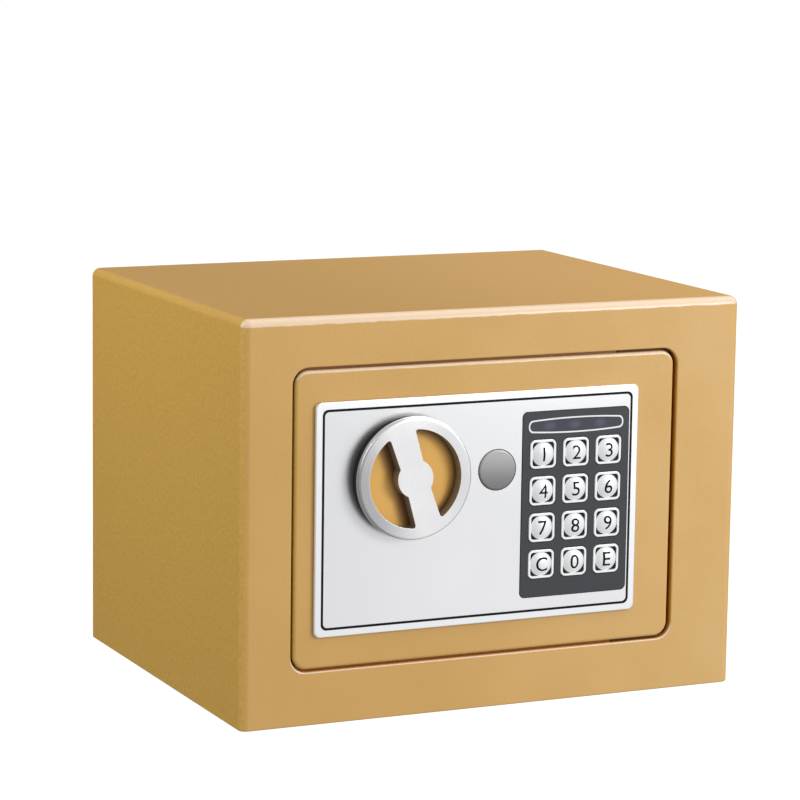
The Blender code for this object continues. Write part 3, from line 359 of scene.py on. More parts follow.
def wall(made, thickness):
    """Gives a sheet its thickness, inwards."""
    solid = made.modifiers.new("thickness", "SOLIDIFY")
    solid.thickness, solid.offset, solid.use_even_offset = thickness, -1, True
    before_levelling(made)


def ease(made, radius, steps=2, angle=40):
    """Rounds every sharp edge."""
    bevel = made.modifiers.new("eased_edges", "BEVEL")
    bevel.width, bevel.segments, bevel.profile = radius, steps, 0.5
    bevel.limit_method, bevel.angle_limit = "ANGLE", radians(angle)
    bevel.use_clamp_overlap = True
    before_levelling(made)


def round_off(shape, geom, radius, steps, affect="EDGES"):
    """Rounds edges, or the corners of a flat outline, to a radius."""
    bmesh.ops.bevel(
        shape, geom=geom, offset=radius, offset_type="OFFSET", segments=steps, profile=0.5,
        affect=affect, material=-1,
    )


def rounded_face(low, high, y, corner, steps):
    """A flat face with rounded corners that looks forwards, at depth y."""
    shape = bmesh.new()
    bmesh.ops.create_grid(shape, x_segments=1, y_segments=1, size=0.5)
    bmesh.ops.rotate(shape, verts=shape.verts, matrix=Matrix.Rotation(pi / 2, 3, "X"))
    size = (high[0] - low[0], 1, high[1] - low[1])
    bmesh.ops.scale(shape, verts=shape.verts, vec=size)
    centre = ((low[0] + high[0]) / 2, y, (low[1] + high[1]) / 2)
    bmesh.ops.translate(shape, verts=shape.verts, vec=centre)
    round_off(shape, shape.verts[:], corner, steps, "VERTICES")
    return shape


def cut(shape, point, normal, **clearing):
    """Cuts a shape along a plane."""
    geom = shape.verts[:] + shape.edges[:] + shape.faces[:]
    bmesh.ops.bisect_plane(
        shape, geom=geom, dist=1e-7, plane_co=point, plane_no=normal, **clearing
    )


def move_new(shape, made, y):
    """Moves the vertices that an operator has just made by y."""
    verts = [item for item in made["geom"] if isinstance(item, bmesh.types.BMVert)]
    bmesh.ops.translate(shape, verts=verts, vec=(0, y, 0))


def join(shape, other):
    """Adds one bmesh to another."""
    holder = bpy.data.meshes.new("holder")
    other.to_mesh(holder)
    other.free()
    shape.from_mesh(holder)
    bpy.data.meshes.remove(holder)


SHEET, BEND_RADIUS, DOORWAY_CORNER, FOLD_DEPTH = 0.0015, 0.0036, 0.0072, 0.0044
FOLD_SHEET, FOLD_BEHIND, FOLD_GAP = 0.0012, 0.0014, 0.0001

shell = bmesh.new()
bmesh.ops.create_cube(shell, size=1)
bmesh.ops.scale(shell, verts=shell.verts, vec=high - low)
bmesh.ops.translate(shell, verts=shell.verts, vec=(low + high) / 2)
open_sides = [face for face in shell.faces if face.normal.y > 0.5 or face.normal.z < -0.5]
bmesh.ops.delete(shell, geom=open_sides, context="FACES_ONLY")
bends = [edge for edge in shell.edges if len(edge.link_faces) == 2]
round_off(shell, bends, BEND_RADIUS, 8)
front = max(
    (face for face in shell.faces if face.normal.y < -0.9), key=lambda face: face.calc_area()
)
rim = front.edges[:]
bmesh.ops.delete(shell, geom=[front], context="FACES_ONLY")
doorway = rounded_face(doorway_low, doorway_high, low.y, DOORWAY_CORNER, 10)
bmesh.ops.delete(doorway, geom=doorway.faces[:], context="FACES_ONLY")
rim_ends = {tuple(vert.co) for edge in rim for vert in edge.verts}
join(shell, doorway)
loose = [edge for edge in shell.edges if len(edge.link_faces) == 0]
outer_rim = [
    edge for edge in shell.edges
    if len(edge.link_faces) == 1 and all(abs(vert.co.y - low.y) < 1e-6 for vert in edge.verts)
    and all(vert.co.z < 1e-6 or tuple(vert.co) in rim_ends for vert in edge.verts)
]
foot = [edge for edge in rim if edge.is_valid and len(edge.link_faces) == 0]
bmesh.ops.triangle_fill(shell, use_beauty=True, edges=list(set(loose + outer_rim + foot)))
bmesh.ops.recalc_face_normals(shell, faces=shell.faces)
body_shell = piece("bent_steel_shell", shell, body_paint, "body", "body_shell", slot="body_paint")
wall(body_shell, SHEET)
ease(body_shell, 0.0007, 4)

fold = rounded_face(
    (doorway_low[0], doorway_low[1] - FOLD_GAP),
    (doorway_high[0] + FOLD_GAP, doorway_high[1] + FOLD_GAP),
    low.y + FOLD_BEHIND, DOORWAY_CORNER + FOLD_GAP, 10,
)
bmesh.ops.delete(fold, geom=fold.faces[:], context="FACES_ONLY")
stop_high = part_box("door_stop_frame")[1]
cut(fold, (stop_high.x + 0.0002, 0, 0), RIGHT, clear_inner=True)
move_new(fold, bmesh.ops.extrude_edge_only(fold, edges=fold.edges[:]), FOLD_DEPTH)
fold.normal_update()
side = max(fold.faces, key=lambda face: abs(face.normal.x) * face.calc_area())
if side.normal.x > 0:
    bmesh.ops.reverse_faces(fold, faces=fold.faces[:])
folded_rim = piece("folded_hinge_side_rim", fold, body_paint, "body")
wall(folded_rim, FOLD_SHEET)
ease(folded_rim, 0.0002)

# ---------------------------------------------------------------------------
# Base, back, door stop and hinge lugs. Flat steel welded inside the shell and
# sprayed with it. The base and back each have two holes for anchor bolts.
# ---------------------------------------------------------------------------


def eased_copy(name, node, material, radius=0.0003, steps=2):
    """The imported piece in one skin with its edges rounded, on its own body."""
    source = frame["nodes"][node]
    shape = bmesh.new()
    shape.from_mesh(source.data)
    bmesh.ops.remove_doubles(shape, verts=shape.verts, dist=2e-6)
    bmesh.ops.dissolve_limit(
        shape, angle_limit=radians(1), use_dissolve_boundaries=False, verts=shape.verts,
        edges=shape.edges, delimit={"NORMAL"},
    )
    made = piece(name, shape, material, body_of(source)[0], node)
    if radius:
        ease(made, radius, steps)
    return made


WELD_GAP = 0.0003  # the welds fill it, so each panel reaches the shell
# Each reach is an axis, and how far out along it a panel's edge begins.
for name, node, reaches in (
    ("welded_base", "base_panel", ((0, 0.11), (1, 0.08))),
    ("welded_back", "back_panel", ((0, 0.11), (2, 0.16))),
):
    panel = eased_copy(name, node, body_paint, 0.0004)
    for vert in panel.data.vertices:
        for axis, reach in reaches:
            if abs(vert.co[axis]) > reach:
                vert.co[axis] += copysign(WELD_GAP, vert.co[axis])
eased_copy("welded_door_stop", "door_stop_frame", body_paint)
eased_copy("upper_hinge_lug", "hinge_lug_top", body_paint)
eased_copy("lower_hinge_lug", "hinge_lug_bottom", body_paint)

# ---------------------------------------------------------------------------
# Floor mat. One piece of 2 mm needle felt, laid loose on the base, with holes
# over the anchor holes.
# ---------------------------------------------------------------------------


def hoop(shape, x, z, radius, steps=48):
    """A ring of edges that looks forwards, round x and z."""
    place = Matrix.Translation((x, 0, z)) @ Matrix.Rotation(pi / 2, 4, "X")
    bmesh.ops.create_circle(shape, cap_ends=False, radius=radius, segments=steps, matrix=place)


def outline(shape, low, high, corner, steps=8):
    """A rounded rectangle of edges that looks forwards, from low to high in x and z."""
    loop = rounded_face(low, high, 0.0, corner, steps)
    bmesh.ops.delete(loop, geom=loop.faces[:], context="FACES_ONLY")
    join(shape, loop)


def stamp(shape, front_y, back_y):
    """Fills the loops of edges, with the inner ones as holes, and gives them depth."""
    bmesh.ops.triangle_fill(shape, use_beauty=True, edges=shape.edges[:])
    bmesh.ops.translate(shape, verts=shape.verts, vec=(0, front_y, 0))
    back = bmesh.ops.extrude_face_region(shape, geom=shape.faces[:])
    move_new(shape, back, back_y - front_y)
    bmesh.ops.recalc_face_normals(shape, faces=shape.faces)
    return shape


felt, flow, shader = finish("needle_felt", Roughness=0.95, Sheen_Weight=0.4, Sheen_Roughness=0.5)
fibre = noise(flow, 0.0006, 4.0, 0.7)
worn = noise(flow, 0.03, 2.0).between(0.35, 0.7)
pile = (0.7 * fibre + 0.3 * worn).between(0.3, 0.7)
feed(flow, shader, "Base Color", pile.tint(rgb(38, 38, 41), rgb(74, 74, 78)))
relief(flow, shader, fibre, 0.0004)

MAT_CORNER, ANCHOR_HALF_SPACING, ANCHOR_RADIUS = 0.004, 0.06, 0.005
low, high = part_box("floor_mat")
mat = bmesh.new()
outline(mat, (low.x, low.y), (high.x, high.y), MAT_CORNER)
for side in (-1, 1):
    hoop(mat, ANCHOR_HALF_SPACING * side, 0, ANCHOR_RADIUS, 32)
stamp(mat, -high.z, -low.z)
bmesh.ops.rotate(mat, verts=mat.verts, cent=(0, 0, 0), matrix=Matrix.Rotation(-pi / 2, 3, "X"))
floor_mat = piece("felt_floor_mat", mat, felt, "body", "floor_mat", slot="felt")
ease(floor_mat, 0.0006, 3)

# ---------------------------------------------------------------------------
# Door. A 3 mm steel plate in the body's paint, with a rounded front edge and
# openings for the knob's spindle, the key barrel and the keypad's board.
# ---------------------------------------------------------------------------


def middle(node):
    """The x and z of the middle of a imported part."""
    low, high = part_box(node)
    return (low.x + high.x) / 2, (low.z + high.z) / 2


knob_x, lock_z = middle("knob_spindle")
cap_x = middle("key_cover_cap")[0]
pad_low, pad_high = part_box("keypad_bezel")
cap_low, cap_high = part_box("key_cover_cap")
SPINDLE_HOLE, BARREL_HOLE, CAP_HOLE, PAD_LAP = 0.00435, 0.0073, 0.00885, 0.0027


def around(low, high, gap):
    """The corners of a rectangle that lies outside a part's front by gap."""
    return (low.x - gap, low.z - gap), (high.x + gap, high.z + gap)


def round_rim(shape, low, high, y, radius, steps):
    """Rounds the outer edge at depth y of a plate that spans low to high."""
    corner_reach = 0.0022

    def on_rim(place):
        inset = min(place.x - low.x, high.x - place.x, place.z - low.z, high.z - place.z)
        return inset < corner_reach and abs(place.y - y) < 1e-6

    rim = [
        edge for edge in shape.edges
        if all(on_rim(vert.co) for vert in edge.verts)
        and any(abs(face.normal.y) < 0.5 for face in edge.link_faces)
    ]
    round_off(shape, rim, radius, steps)


door = bmesh.new()
outline(door, (door_low.x, door_low.z), (door_high.x, door_high.z), 0.006, 10)
hoop(door, knob_x, lock_z, SPINDLE_HOLE)
hoop(door, cap_x, lock_z, BARREL_HOLE)
outline(door, *around(pad_low, pad_high, -PAD_LAP), 0.0018, 4)
stamp(door, door_low.y, door_high.y)
round_rim(door, door_low, door_high, door_low.y, 0.0015, 6)
piece("door_steel_plate", door, door_paint, "door", "door_plate", slot="body_paint")

# ---------------------------------------------------------------------------
# Control plate. A pressed plate in satin silver with a bright chamfered edge.
# A thin black line is printed round it, a few millimetres in.
# ---------------------------------------------------------------------------


def speckled(name, size, dark, light, roughness, detail=2.0, harsh=0.5, **principled):
    """A finish whose colour and roughness vary together in specks about size metres wide."""
    made, flow, shader = finish(name, **principled)
    speck = noise(flow, size, detail, harsh)
    feed(flow, shader, "Base Color", speck.tint(rgb(*dark), rgb(*light)))
    feed(flow, shader, "Roughness", roughness[0] + roughness[1] * speck)
    return made


silver, flow, shader = finish("satin_silver_plate", Metallic=1.0)
grain = noise(flow, 0.0004, 2.0, 0.6)
cloud = noise(flow, 0.05, 2.0).between(0.3, 0.7)
low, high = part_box("control_plate")
LINE_INSET, LINE_WIDTH, EDGE_FADE = 0.0030, 0.00105, 0.0004
place = where(flow)
inside = None
for axis, near, far in ((RIGHT, low.x, high.x), (UP, low.z, high.z)):
    along = place.along(axis)
    band = along.between(near + LINE_INSET, near + LINE_INSET + EDGE_FADE)
    band = band * (1.0 - along.between(far - LINE_INSET - EDGE_FADE, far - LINE_INSET))
    inside = band if inside is None else inside * band
# Painted shading: the plate's face is tinted paler towards the bottom, and the band between the
# printed line and the edge is a painted highlight.
face = place.along(UP).between(low.z, high.z).tint(rgb(241, 241, 243), rgb(229, 230, 231))
face = (0.15 * cloud).tint(face, rgb(214, 215, 217))
feed(flow, shader, "Base Color", inside.tint(rgb(246, 247, 250), face))
feed(flow, shader, "Roughness", 0.3 + 0.06 * grain)
relief(flow, shader, grain, 0.00002)

plate = bmesh.new()
outline(plate, (low.x, low.z), (high.x, high.z), 0.0028, 8)
hoop(plate, knob_x, lock_z, SPINDLE_HOLE)
hoop(plate, cap_x, lock_z, CAP_HOLE, 64)
outline(plate, *around(pad_low, pad_high, 0.0003), 0.0025, 8)
stamp(plate, low.y, high.y)
round_rim(plate, low, high, low.y, 0.0006, 3)
piece("silver_control_plate", plate, silver, "door", "control_plate", slot="satin_plate")

black_print = speckled(
    "black_print", 0.0003, (2, 2, 3), (6, 6, 7), (0.5, 0.15), Specular_IOR_Level=0.2
)
LINE_INK = 0.00003
line = bmesh.new()
for inset, corner in ((LINE_INSET, 0.0026), (LINE_INSET + LINE_WIDTH, 0.0019)):
    outline(line, *around(low, high, -inset), corner, 8)
stamp(line, low.y - LINE_INK, low.y)
piece("printed_border_line", line, black_print, "door")

# ---------------------------------------------------------------------------
# Keypad overlay. A dark grey moulded frame with a square pocket for each key
# and a slim oval window, which has a white line printed round it.
# ---------------------------------------------------------------------------

pad_grey, flow, shader = finish("keypad_grey", Coat_Weight=0.1, Coat_Roughness=0.3)
grain = noise(flow, 0.00045, 3.0, 0.6)
feed(flow, shader, "Base Color", grain.tint(rgb(34, 38, 44), rgb(46, 50, 58)))
feed(flow, shader, "Roughness", 0.42 + 0.14 * grain)
relief(flow, shader, grain, 0.00003)

lens_x, lens_z = middle("led_window")


def window_outline(shape, grow=0.0):
    """The window's long oval: two slightly bulged sides and round ends."""
    half_width, end, bulge = 0.02235 + grow, 0.0024 + grow, 0.0009
    bow = (half_width**2 + bulge**2) / (2 * bulge)
    loop = bmesh.new()
    for side in (1, -1):
        centre = (0, 0, side * (end + bulge - bow))
        start = loop.verts.new((-side * half_width, 0, side * end))
        bmesh.ops.spin(
            loop, geom=[start], cent=centre, axis=(0, 1, 0), steps=24,
            angle=2 * asin(half_width / bow),
        )
    loop.verts.ensure_lookup_table()
    corners = [vert for vert in loop.verts if len(vert.link_edges) == 1]
    for side in (1, -1):
        pair = [vert for vert in corners if vert.co.x * side > 0]
        loop.edges.new(pair)
    round_off(loop, corners, end * 0.92, 8, "VERTICES")
    bmesh.ops.translate(loop, verts=loop.verts, vec=(lens_x, 0, lens_z))
    join(shape, loop)


low, high = pad_low, pad_high
overlay = bmesh.new()
outline(overlay, (low.x, low.z), (high.x, high.z), 0.0023, 8)
window_outline(overlay, 0.0001)
KEY_NAMES, KEY_GAP = "123456789c0e", 0.00035
for name in KEY_NAMES:
    key_low, key_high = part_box("key_" + name)
    outline(overlay, *around(key_low, key_high, KEY_GAP), 0.00265, 5)
stamp(overlay, low.y, high.y)
overlay = piece("keypad_overlay", overlay, pad_grey, "door", "keypad_bezel", slot="dark_plastic")
ease(overlay, 0.00018, 2)

white_print = speckled("white_print", 0.0003, (226, 228, 230), (240, 241, 242), (0.35, 0.1))
ring = bmesh.new()
window_outline(ring, 0.0001)
window_outline(ring, -0.0005)
stamp(ring, low.y - 0.00004, low.y + 0.0004)
piece("window_white_line", ring, white_print, "door")

smoked, flow, shader = finish("smoked_window", Coat_Weight=0.3, Coat_Roughness=0.08)
place = where(flow)
lamp_glow = None
for name in ("led_left", "led_middle", "led_right"):
    led_x, led_z = middle(name)
    away = place.vector("SUBTRACT", (led_x - 0.0005, 0, led_z)).vector("MULTIPLY", (1, 0, 1.6))
    spot = 1.0 - away.length().between(0.0004, 0.0042)
    lamp_glow = spot if lamp_glow is None else lamp_glow + spot
haze = noise(flow, 0.003, 2.0, place=place)
lamp_glow = lamp_glow * (0.5 + 0.5 * haze)
feed(flow, shader, "Base Color", lamp_glow.tint(rgb(50, 51, 64), rgb(78, 80, 98)))
feed(flow, shader, "Roughness", 0.2 + 0.1 * haze)
lens = bmesh.new()
window_outline(lens, -0.0005)
stamp(lens, low.y + 0.0001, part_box("led_window")[1].y)
piece("smoked_light_window", lens, smoked, "door", "led_window", slot="smoked_lens")

# ---------------------------------------------------------------------------
# Keys. Each is one moulding with a bright square rim and a plated dome that
# fills it; black shows in the corners. Its sign is printed on the dome.
# ---------------------------------------------------------------------------

key_silver = speckled(
    "key_bright_silver", 0.0005, (230, 232, 234), (241, 242, 244), (0.24, 0.1), harsh=0.6,
    Metallic=0.2, Coat_Weight=0.35, Coat_Roughness=0.15,
)
key_black = speckled(
    "key_black", 0.0004, (4, 4, 5), (12, 12, 13), (0.3, 0.2), Specular_IOR_Level=0.25
)
rim_silver = speckled(
    "key_rim_silver", 0.0005, (238, 239, 240), (248, 248, 249), (0.25, 0.1), harsh=0.6,
    Metallic=0.3, Coat_Weight=0.4, Coat_Roughness=0.15,
)

RIM_WIDTH, RIM_DEPTH, RIM_EASE = 0.0011, 0.0005, 0.0002
DOME_RADIUS, DOME_RISE = 0.00508, 0.001
SIGN_HEIGHT, SIGN_WIDENING, INK, CUT_STEP = 0.006, 1.02, 0.00003, 0.0009


def print_on(dome_x, dome_z, apex, curve, letter):
    """A letter printed on a dome: flat text made into a mesh and laid on the curve."""
    words = bpy.data.curves.new("letter", "FONT")
    words.body, words.resolution_u = letter, 6
    words.offset = 0.0 if letter == "4" else 0.004  # an outset closes the counter of the 4
    holder = bpy.data.objects.new("letter", words)
    bpy.context.collection.objects.link(holder)
    flat = bpy.data.meshes.new_from_object(
        holder.evaluated_get(bpy.context.evaluated_depsgraph_get())
    )
    bpy.data.objects.remove(holder)
    bpy.data.curves.remove(words)
    shape = bmesh.new()
    shape.from_mesh(flat)
    bpy.data.meshes.remove(flat)
    bmesh.ops.remove_doubles(shape, verts=shape.verts, dist=1e-5)
    xs, ys = ([vert.co[i] for vert in shape.verts] for i in (0, 1))
    centre = ((min(xs) + max(xs)) / 2, (min(ys) + max(ys)) / 2, 0)
    bmesh.ops.translate(shape, verts=shape.verts, vec=[-c for c in centre])
    grow = SIGN_HEIGHT / (max(ys) - min(ys))
    bmesh.ops.scale(shape, verts=shape.verts, vec=(grow * SIGN_WIDENING, grow, 1))
    bmesh.ops.rotate(shape, verts=shape.verts, matrix=Matrix.Rotation(pi / 2, 3, "X"))
    for step in range(-3, 4):
        for normal in (RIGHT, UP):
            cut(shape, [c * step * CUT_STEP for c in normal], normal)
    for vert in shape.verts:
        out = hypot(vert.co.x, vert.co.z)
        vert.co.y = apex + curve - sqrt(curve**2 - out**2) - 0.00004
    bmesh.ops.translate(shape, verts=shape.verts, vec=(dome_x, 0, dome_z))
    bmesh.ops.recalc_face_normals(shape, faces=shape.faces)
    return shape


for name in KEY_NAMES:
    body = "key_" + name
    low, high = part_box(body)
    x, z = middle(body)
    # A block with rounded corners, then an eased rim, then a pocket for the dome.
    rim_y = low.y + DOME_RISE
    key = rounded_face((low.x, low.z), (high.x, high.z), rim_y, 0.0023, 6)
    back = bmesh.ops.extrude_face_region(key, geom=key.faces[:], use_keep_orig=True)
    move_new(key, back, high.y - rim_y)
    bmesh.ops.recalc_face_normals(key, faces=key.faces)
    front = [face for face in key.faces if face.normal.y < -0.9]
    bmesh.ops.inset_region(key, faces=front, thickness=RIM_EASE, depth=0.0, use_even_offset=True)
    front = [face for face in key.faces if face.normal.y < -0.9]
    top = max(front, key=lambda face: face.calc_area())
    lip = top.verts[:]
    outer = [vert for vert in key.verts if abs(vert.co.y - rim_y) < 1e-7 and vert not in lip]
    bmesh.ops.translate(key, verts=outer, vec=(0, RIM_EASE, 0))
    across = RIM_WIDTH - RIM_EASE - 0.0001
    bmesh.ops.inset_region(key, faces=[top], thickness=across, use_even_offset=True)
    bmesh.ops.inset_region(
        key, faces=[top], thickness=0.0001, depth=-RIM_DEPTH, use_even_offset=True
    )
    top.material_index = 1
    rise = DOME_RISE + RIM_DEPTH
    curve = (DOME_RADIUS**2 + rise**2) / (2 * rise)
    # The dome's profile is an arc from its apex; turned once round, it is the dome.
    dome = bmesh.new()
    start = dome.verts.new((0, low.y, 0))
    bmesh.ops.spin(
        dome, geom=[start], cent=(0, low.y + curve, 0), axis=UP, steps=10,
        angle=asin(DOME_RADIUS / curve),
    )
    bmesh.ops.spin(
        dome, geom=dome.edges[:] + dome.verts[:], cent=(0, 0, 0), axis=(0, 1, 0), steps=48,
        angle=2 * pi, use_merge=True,
    )
    bmesh.ops.remove_doubles(dome, verts=dome.verts, dist=1e-7)
    bottom = [edge for edge in dome.edges if len(edge.link_faces) == 1]
    bmesh.ops.holes_fill(dome, edges=bottom, sides=0)
    bmesh.ops.recalc_face_normals(dome, faces=dome.faces)
    for face in dome.faces:
        face.material_index = 2
    bmesh.ops.translate(dome, verts=dome.verts, vec=(x, 0, z))
    join(key, dome)
    piece(body + "_cap", key, (rim_silver, key_black, key_silver), body, body, slot="key_silver")
    sign = print_on(x, z, low.y, curve, name.upper())
    sign = piece(body + "_sign", sign, black_print, body, smooth=0)
    wall(sign, INK)

# ---------------------------------------------------------------------------
# Knob. A turned ring, hub and cross bar in satin chrome on a black plastic
# collar; the black also runs up the chrome's lower side wall as painted shade.
# Two deep finger recesses go down to a disc in the body's gold.
# ---------------------------------------------------------------------------

knob_low, knob_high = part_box("knob")
insert_low, insert_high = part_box("knob_insert")
KNOB_RADIUS, COLLAR_HEIGHT, COLLAR_INSET, COLLAR_BORE = 0.0257, 0.0041, 0.0006, 0.0231
RING_EDGE, RING_INSIDE, BAR_LEAN = 0.0012, 0.024, radians(18)
RECESS_RADIUS, HUB_RADIUS, BAR_HALF_END, BAR_HALF_WAIST = 0.0207, 0.008, 0.0059, 0.0053


def turned(profile, steps=96):
    """A profile of (radius, depth) points turned about the axis that looks forwards."""
    shape = bmesh.new()
    points = [shape.verts.new((radius, y, 0)) for radius, y in profile]
    for one, two in zip(points, points[1:]):
        shape.edges.new((one, two))
    bmesh.ops.spin(
        shape, geom=shape.verts[:] + shape.edges[:], cent=(0, 0, 0), axis=(0, 1, 0),
        steps=steps, angle=2 * pi, use_merge=True,
    )
    bmesh.ops.remove_doubles(shape, verts=shape.verts, dist=1e-6)
    bmesh.ops.recalc_face_normals(shape, faces=shape.faces)
    return shape


def finger_recess(shape, side):
    """One crescent of edges between the ring, the hub and the cross bar."""
    loop = bmesh.new()
    for radius, half, steps in (
        (RECESS_RADIUS, BAR_HALF_END, 30), (HUB_RADIUS, BAR_HALF_WAIST, 14),
    ):
        start = acos(half / radius)
        first = loop.verts.new((radius * cos(start), 0, radius * sin(start)))
        bmesh.ops.spin(
            loop, geom=[first], cent=(0, 0, 0), axis=(0, 1, 0), steps=steps, angle=2 * start
        )
    ends = [vert for vert in loop.verts if len(vert.link_edges) == 1]
    for level in (1, -1):
        loop.edges.new([vert for vert in ends if vert.co.z * level > 0])
    halfway = (HUB_RADIUS + RECESS_RADIUS) / 2
    ring_ends = [vert for vert in ends if hypot(vert.co.x, vert.co.z) > halfway]
    round_off(loop, ring_ends, 0.0014, 5, "VERTICES")
    turn = Matrix.Rotation((pi if side < 0 else 0) - BAR_LEAN, 3, "Y")
    bmesh.ops.rotate(loop, verts=loop.verts, cent=(0, 0, 0), matrix=turn)
    join(shape, loop)


chrome, flow, shader = finish("satin_chrome", Metallic=1.0)
place = where(flow)
out = place.vector("SUBTRACT", (knob_x, 0, lock_z)).vector("MULTIPLY", (1, 0, 1))
reach = out.length()
lathe_line = flow.node(
    "ShaderNodeTexNoise", {"noise_dimensions": "1D"}, {"W": reach, "Scale": 6000, "Detail": 3.0},
)
cloud = noise(flow, 0.02, 2.0, place=place).between(0.3, 0.7)
# Painted shade: the ring's face is tinted grey on its left and a little on its right.
side = out.along((0.95, 0, 0.3)) / reach
ring_painted_shade = (1.0 - side.between(-1.0, -0.1)) + 0.35 * side.between(0.3, 1.0)
ring_painted_shade = ring_painted_shade * reach.between(0.0196, 0.0216)
face = cloud.tint(rgb(238, 238, 240), rgb(246, 246, 247))
feed(flow, shader, "Base Color", ring_painted_shade.tint(face, rgb(186, 186, 189)))
feed(flow, shader, "Roughness", 0.22 + 0.12 * lathe_line)
relief(flow, shader, lathe_line, 0.000008)

knob = bmesh.new()
hoop(knob, 0, 0, KNOB_RADIUS, 128)
finger_recess(knob, 1)
finger_recess(knob, -1)
stamp(knob, knob_low.y, insert_low.y - 0.0001)
waist_y = knob_high.y - COLLAR_HEIGHT
for level in (waist_y, waist_y + 0.0001):
    cut(knob, (0, level, 0), (0, 1, 0))


def outside(place):
    return hypot(place.x, place.z) > RING_INSIDE


rim = [
    edge for edge in knob.edges
    if all(vert.co.y < knob_low.y + 1e-6 and outside(vert.co) for vert in edge.verts)
]
round_off(knob, rim, RING_EDGE, 5)
for vert in knob.verts:
    if vert.co.y > waist_y + 0.00005 and outside(vert.co):
        vert.co.x *= 1 - COLLAR_INSET / KNOB_RADIUS
        vert.co.z *= 1 - COLLAR_INSET / KNOB_RADIUS
# The lower side wall takes the collar's black: partly a black plastic collar, partly painted shade
# in place of the chrome's dark reflection.
for face in knob.faces:
    centre = face.calc_center_median()
    if centre.y > waist_y and outside(centre):
        face.material_index = 1
    elif abs(face.normal.y) < 0.5 and not outside(centre):
        face.material_index = 2
bmesh.ops.translate(knob, verts=knob.verts, vec=(knob_x, 0, lock_z))
cast_grey = speckled(
    "cast_recess_grey", 0.0006, (150, 140, 122), (176, 168, 152), (0.45, 0.15), Metallic=0.7
)
collar_black_and_shade = speckled(
    "collar_black_and_shade", 0.0005, (12, 12, 13), (26, 26, 28), (0.45, 0.2), Specular_IOR_Level=0.2
)
knob_ring = piece(
    "chrome_turning_knob", knob, (chrome, collar_black_and_shade, cast_grey), "knob", "knob",
    slot="satin_chrome",
)
ease(knob_ring, 0.0005, 3)
collar_front = insert_low.y - 0.0001
collar = turned([
    (COLLAR_BORE, collar_front), (KNOB_RADIUS - COLLAR_INSET, collar_front),
    (KNOB_RADIUS - COLLAR_INSET, insert_high.y), (COLLAR_BORE, insert_high.y),
    (COLLAR_BORE, collar_front),
])
bmesh.ops.translate(collar, verts=collar.verts, vec=(knob_x, 0, lock_z))
piece("knob_black_collar", collar, collar_black_and_shade, "knob")

# Painted shadow darkens the disc beside the bar on one side and beside the ring on the other.
gold_floor, flow, shader, place, gold = gold_paint("gold_recess_paint", 0.00006)
out = place.vector("SUBTRACT", (knob_x, insert_low.y, lock_z))
across = out.along((cos(BAR_LEAN), 0, sin(BAR_LEAN)))
left_side = 1.0 - across.between(-0.0002, 0.0)
by_bar = across.between(-0.0125, -0.006) * left_side
by_ring = out.length().between(0.0165, 0.0212) * (1.0 - left_side)
recess_painted_shadow = by_bar.math("MAXIMUM", by_ring)
gold = noise(flow, 0.01, place=place).tint(rgb(224, 171, 80), rgb(234, 181, 92))
feed(flow, shader, "Base Color", recess_painted_shadow.tint(gold, rgb(92, 52, 8)))
DISC_RADIUS, DISC_BORE, DISC_EDGE = 0.0228, 0.0042, 0.0002
floor = turned([
    (DISC_BORE, insert_low.y), (DISC_RADIUS - DISC_EDGE, insert_low.y),
    (DISC_RADIUS, insert_low.y + DISC_EDGE), (DISC_RADIUS, insert_high.y),
    (DISC_BORE, insert_high.y), (DISC_BORE, insert_low.y),
])
bmesh.ops.translate(floor, verts=floor.verts, vec=(knob_x, 0, lock_z))
piece("gold_recess_floor", floor, gold_floor, "knob", "knob_insert", slot="insert_paint")

# ---------------------------------------------------------------------------
# Key cover cap. A grey satin plug that pulls out of the plate; behind it are
# the brass key plug, its barrel and the tongue that frees the bolts.
# ---------------------------------------------------------------------------

cap_grey, flow, shader = finish("cap_grey_satin", Metallic=0.35)
# Painted light: the cap is tinted paler towards its top.
upper = where(flow).along(UP).between(cap_low.z, cap_high.z)
grain = noise(flow, 0.0005, 2.0)
cap_painted_top_light = upper * (0.94 + 0.06 * grain)
feed(flow, shader, "Base Color", cap_painted_top_light.tint(rgb(118, 118, 120), rgb(171, 171, 172)))
feed(flow, shader, "Roughness", 0.38 + 0.1 * grain)
cap_radius = (cap_high.x - cap_low.x) / 2
cap = turned([
    (0, cap_low.y), (cap_radius - 0.0007, cap_low.y + 0.00006),
    (cap_radius - 0.0003, cap_low.y + 0.00018), (cap_radius, cap_low.y + 0.0005),
    (cap_radius, cap_high.y), (0, cap_high.y),
], 72)
bmesh.ops.translate(cap, verts=cap.verts, vec=(cap_x, 0, lock_z))
piece("grey_key_cover", cap, cap_grey, "key_cover_cap", "key_cover_cap", slot="cap_grey")

brass = speckled(
    "turned_brass", 0.004, (196, 160, 92), (222, 190, 124), (0.25, 0.2), 3.0, Metallic=1.0
)
eased_copy("brass_key_plug", "key_plug", brass, 0.0002)

zinc, flow, shader = finish("zinc_plating", Metallic=1.0)
spangle = noise(flow, 0.006, 3.0)
grain = noise(flow, 0.0006, 2.0)
feed(flow, shader, "Base Color", spangle.tint(rgb(168, 172, 176), rgb(206, 208, 210)))
feed(flow, shader, "Roughness", 0.28 + 0.16 * spangle)
relief(flow, shader, grain, 0.00003)
eased_copy("lock_barrel", "key_barrel", zinc, 0.0003)
eased_copy("lock_tongue", "key_tongue", zinc, 0.0002)

# ---------------------------------------------------------------------------
# Hinge rod, spindle and cam, and the boltwork. Zinc-plated steel, apart from
# the two round bolts, which are chromed, and the hinge rod, which is dark brown
# as painted shade. Two dark brown strips behind the door's top and bottom edges
# on the hinge side are painted shade seen through the gap.
# ---------------------------------------------------------------------------

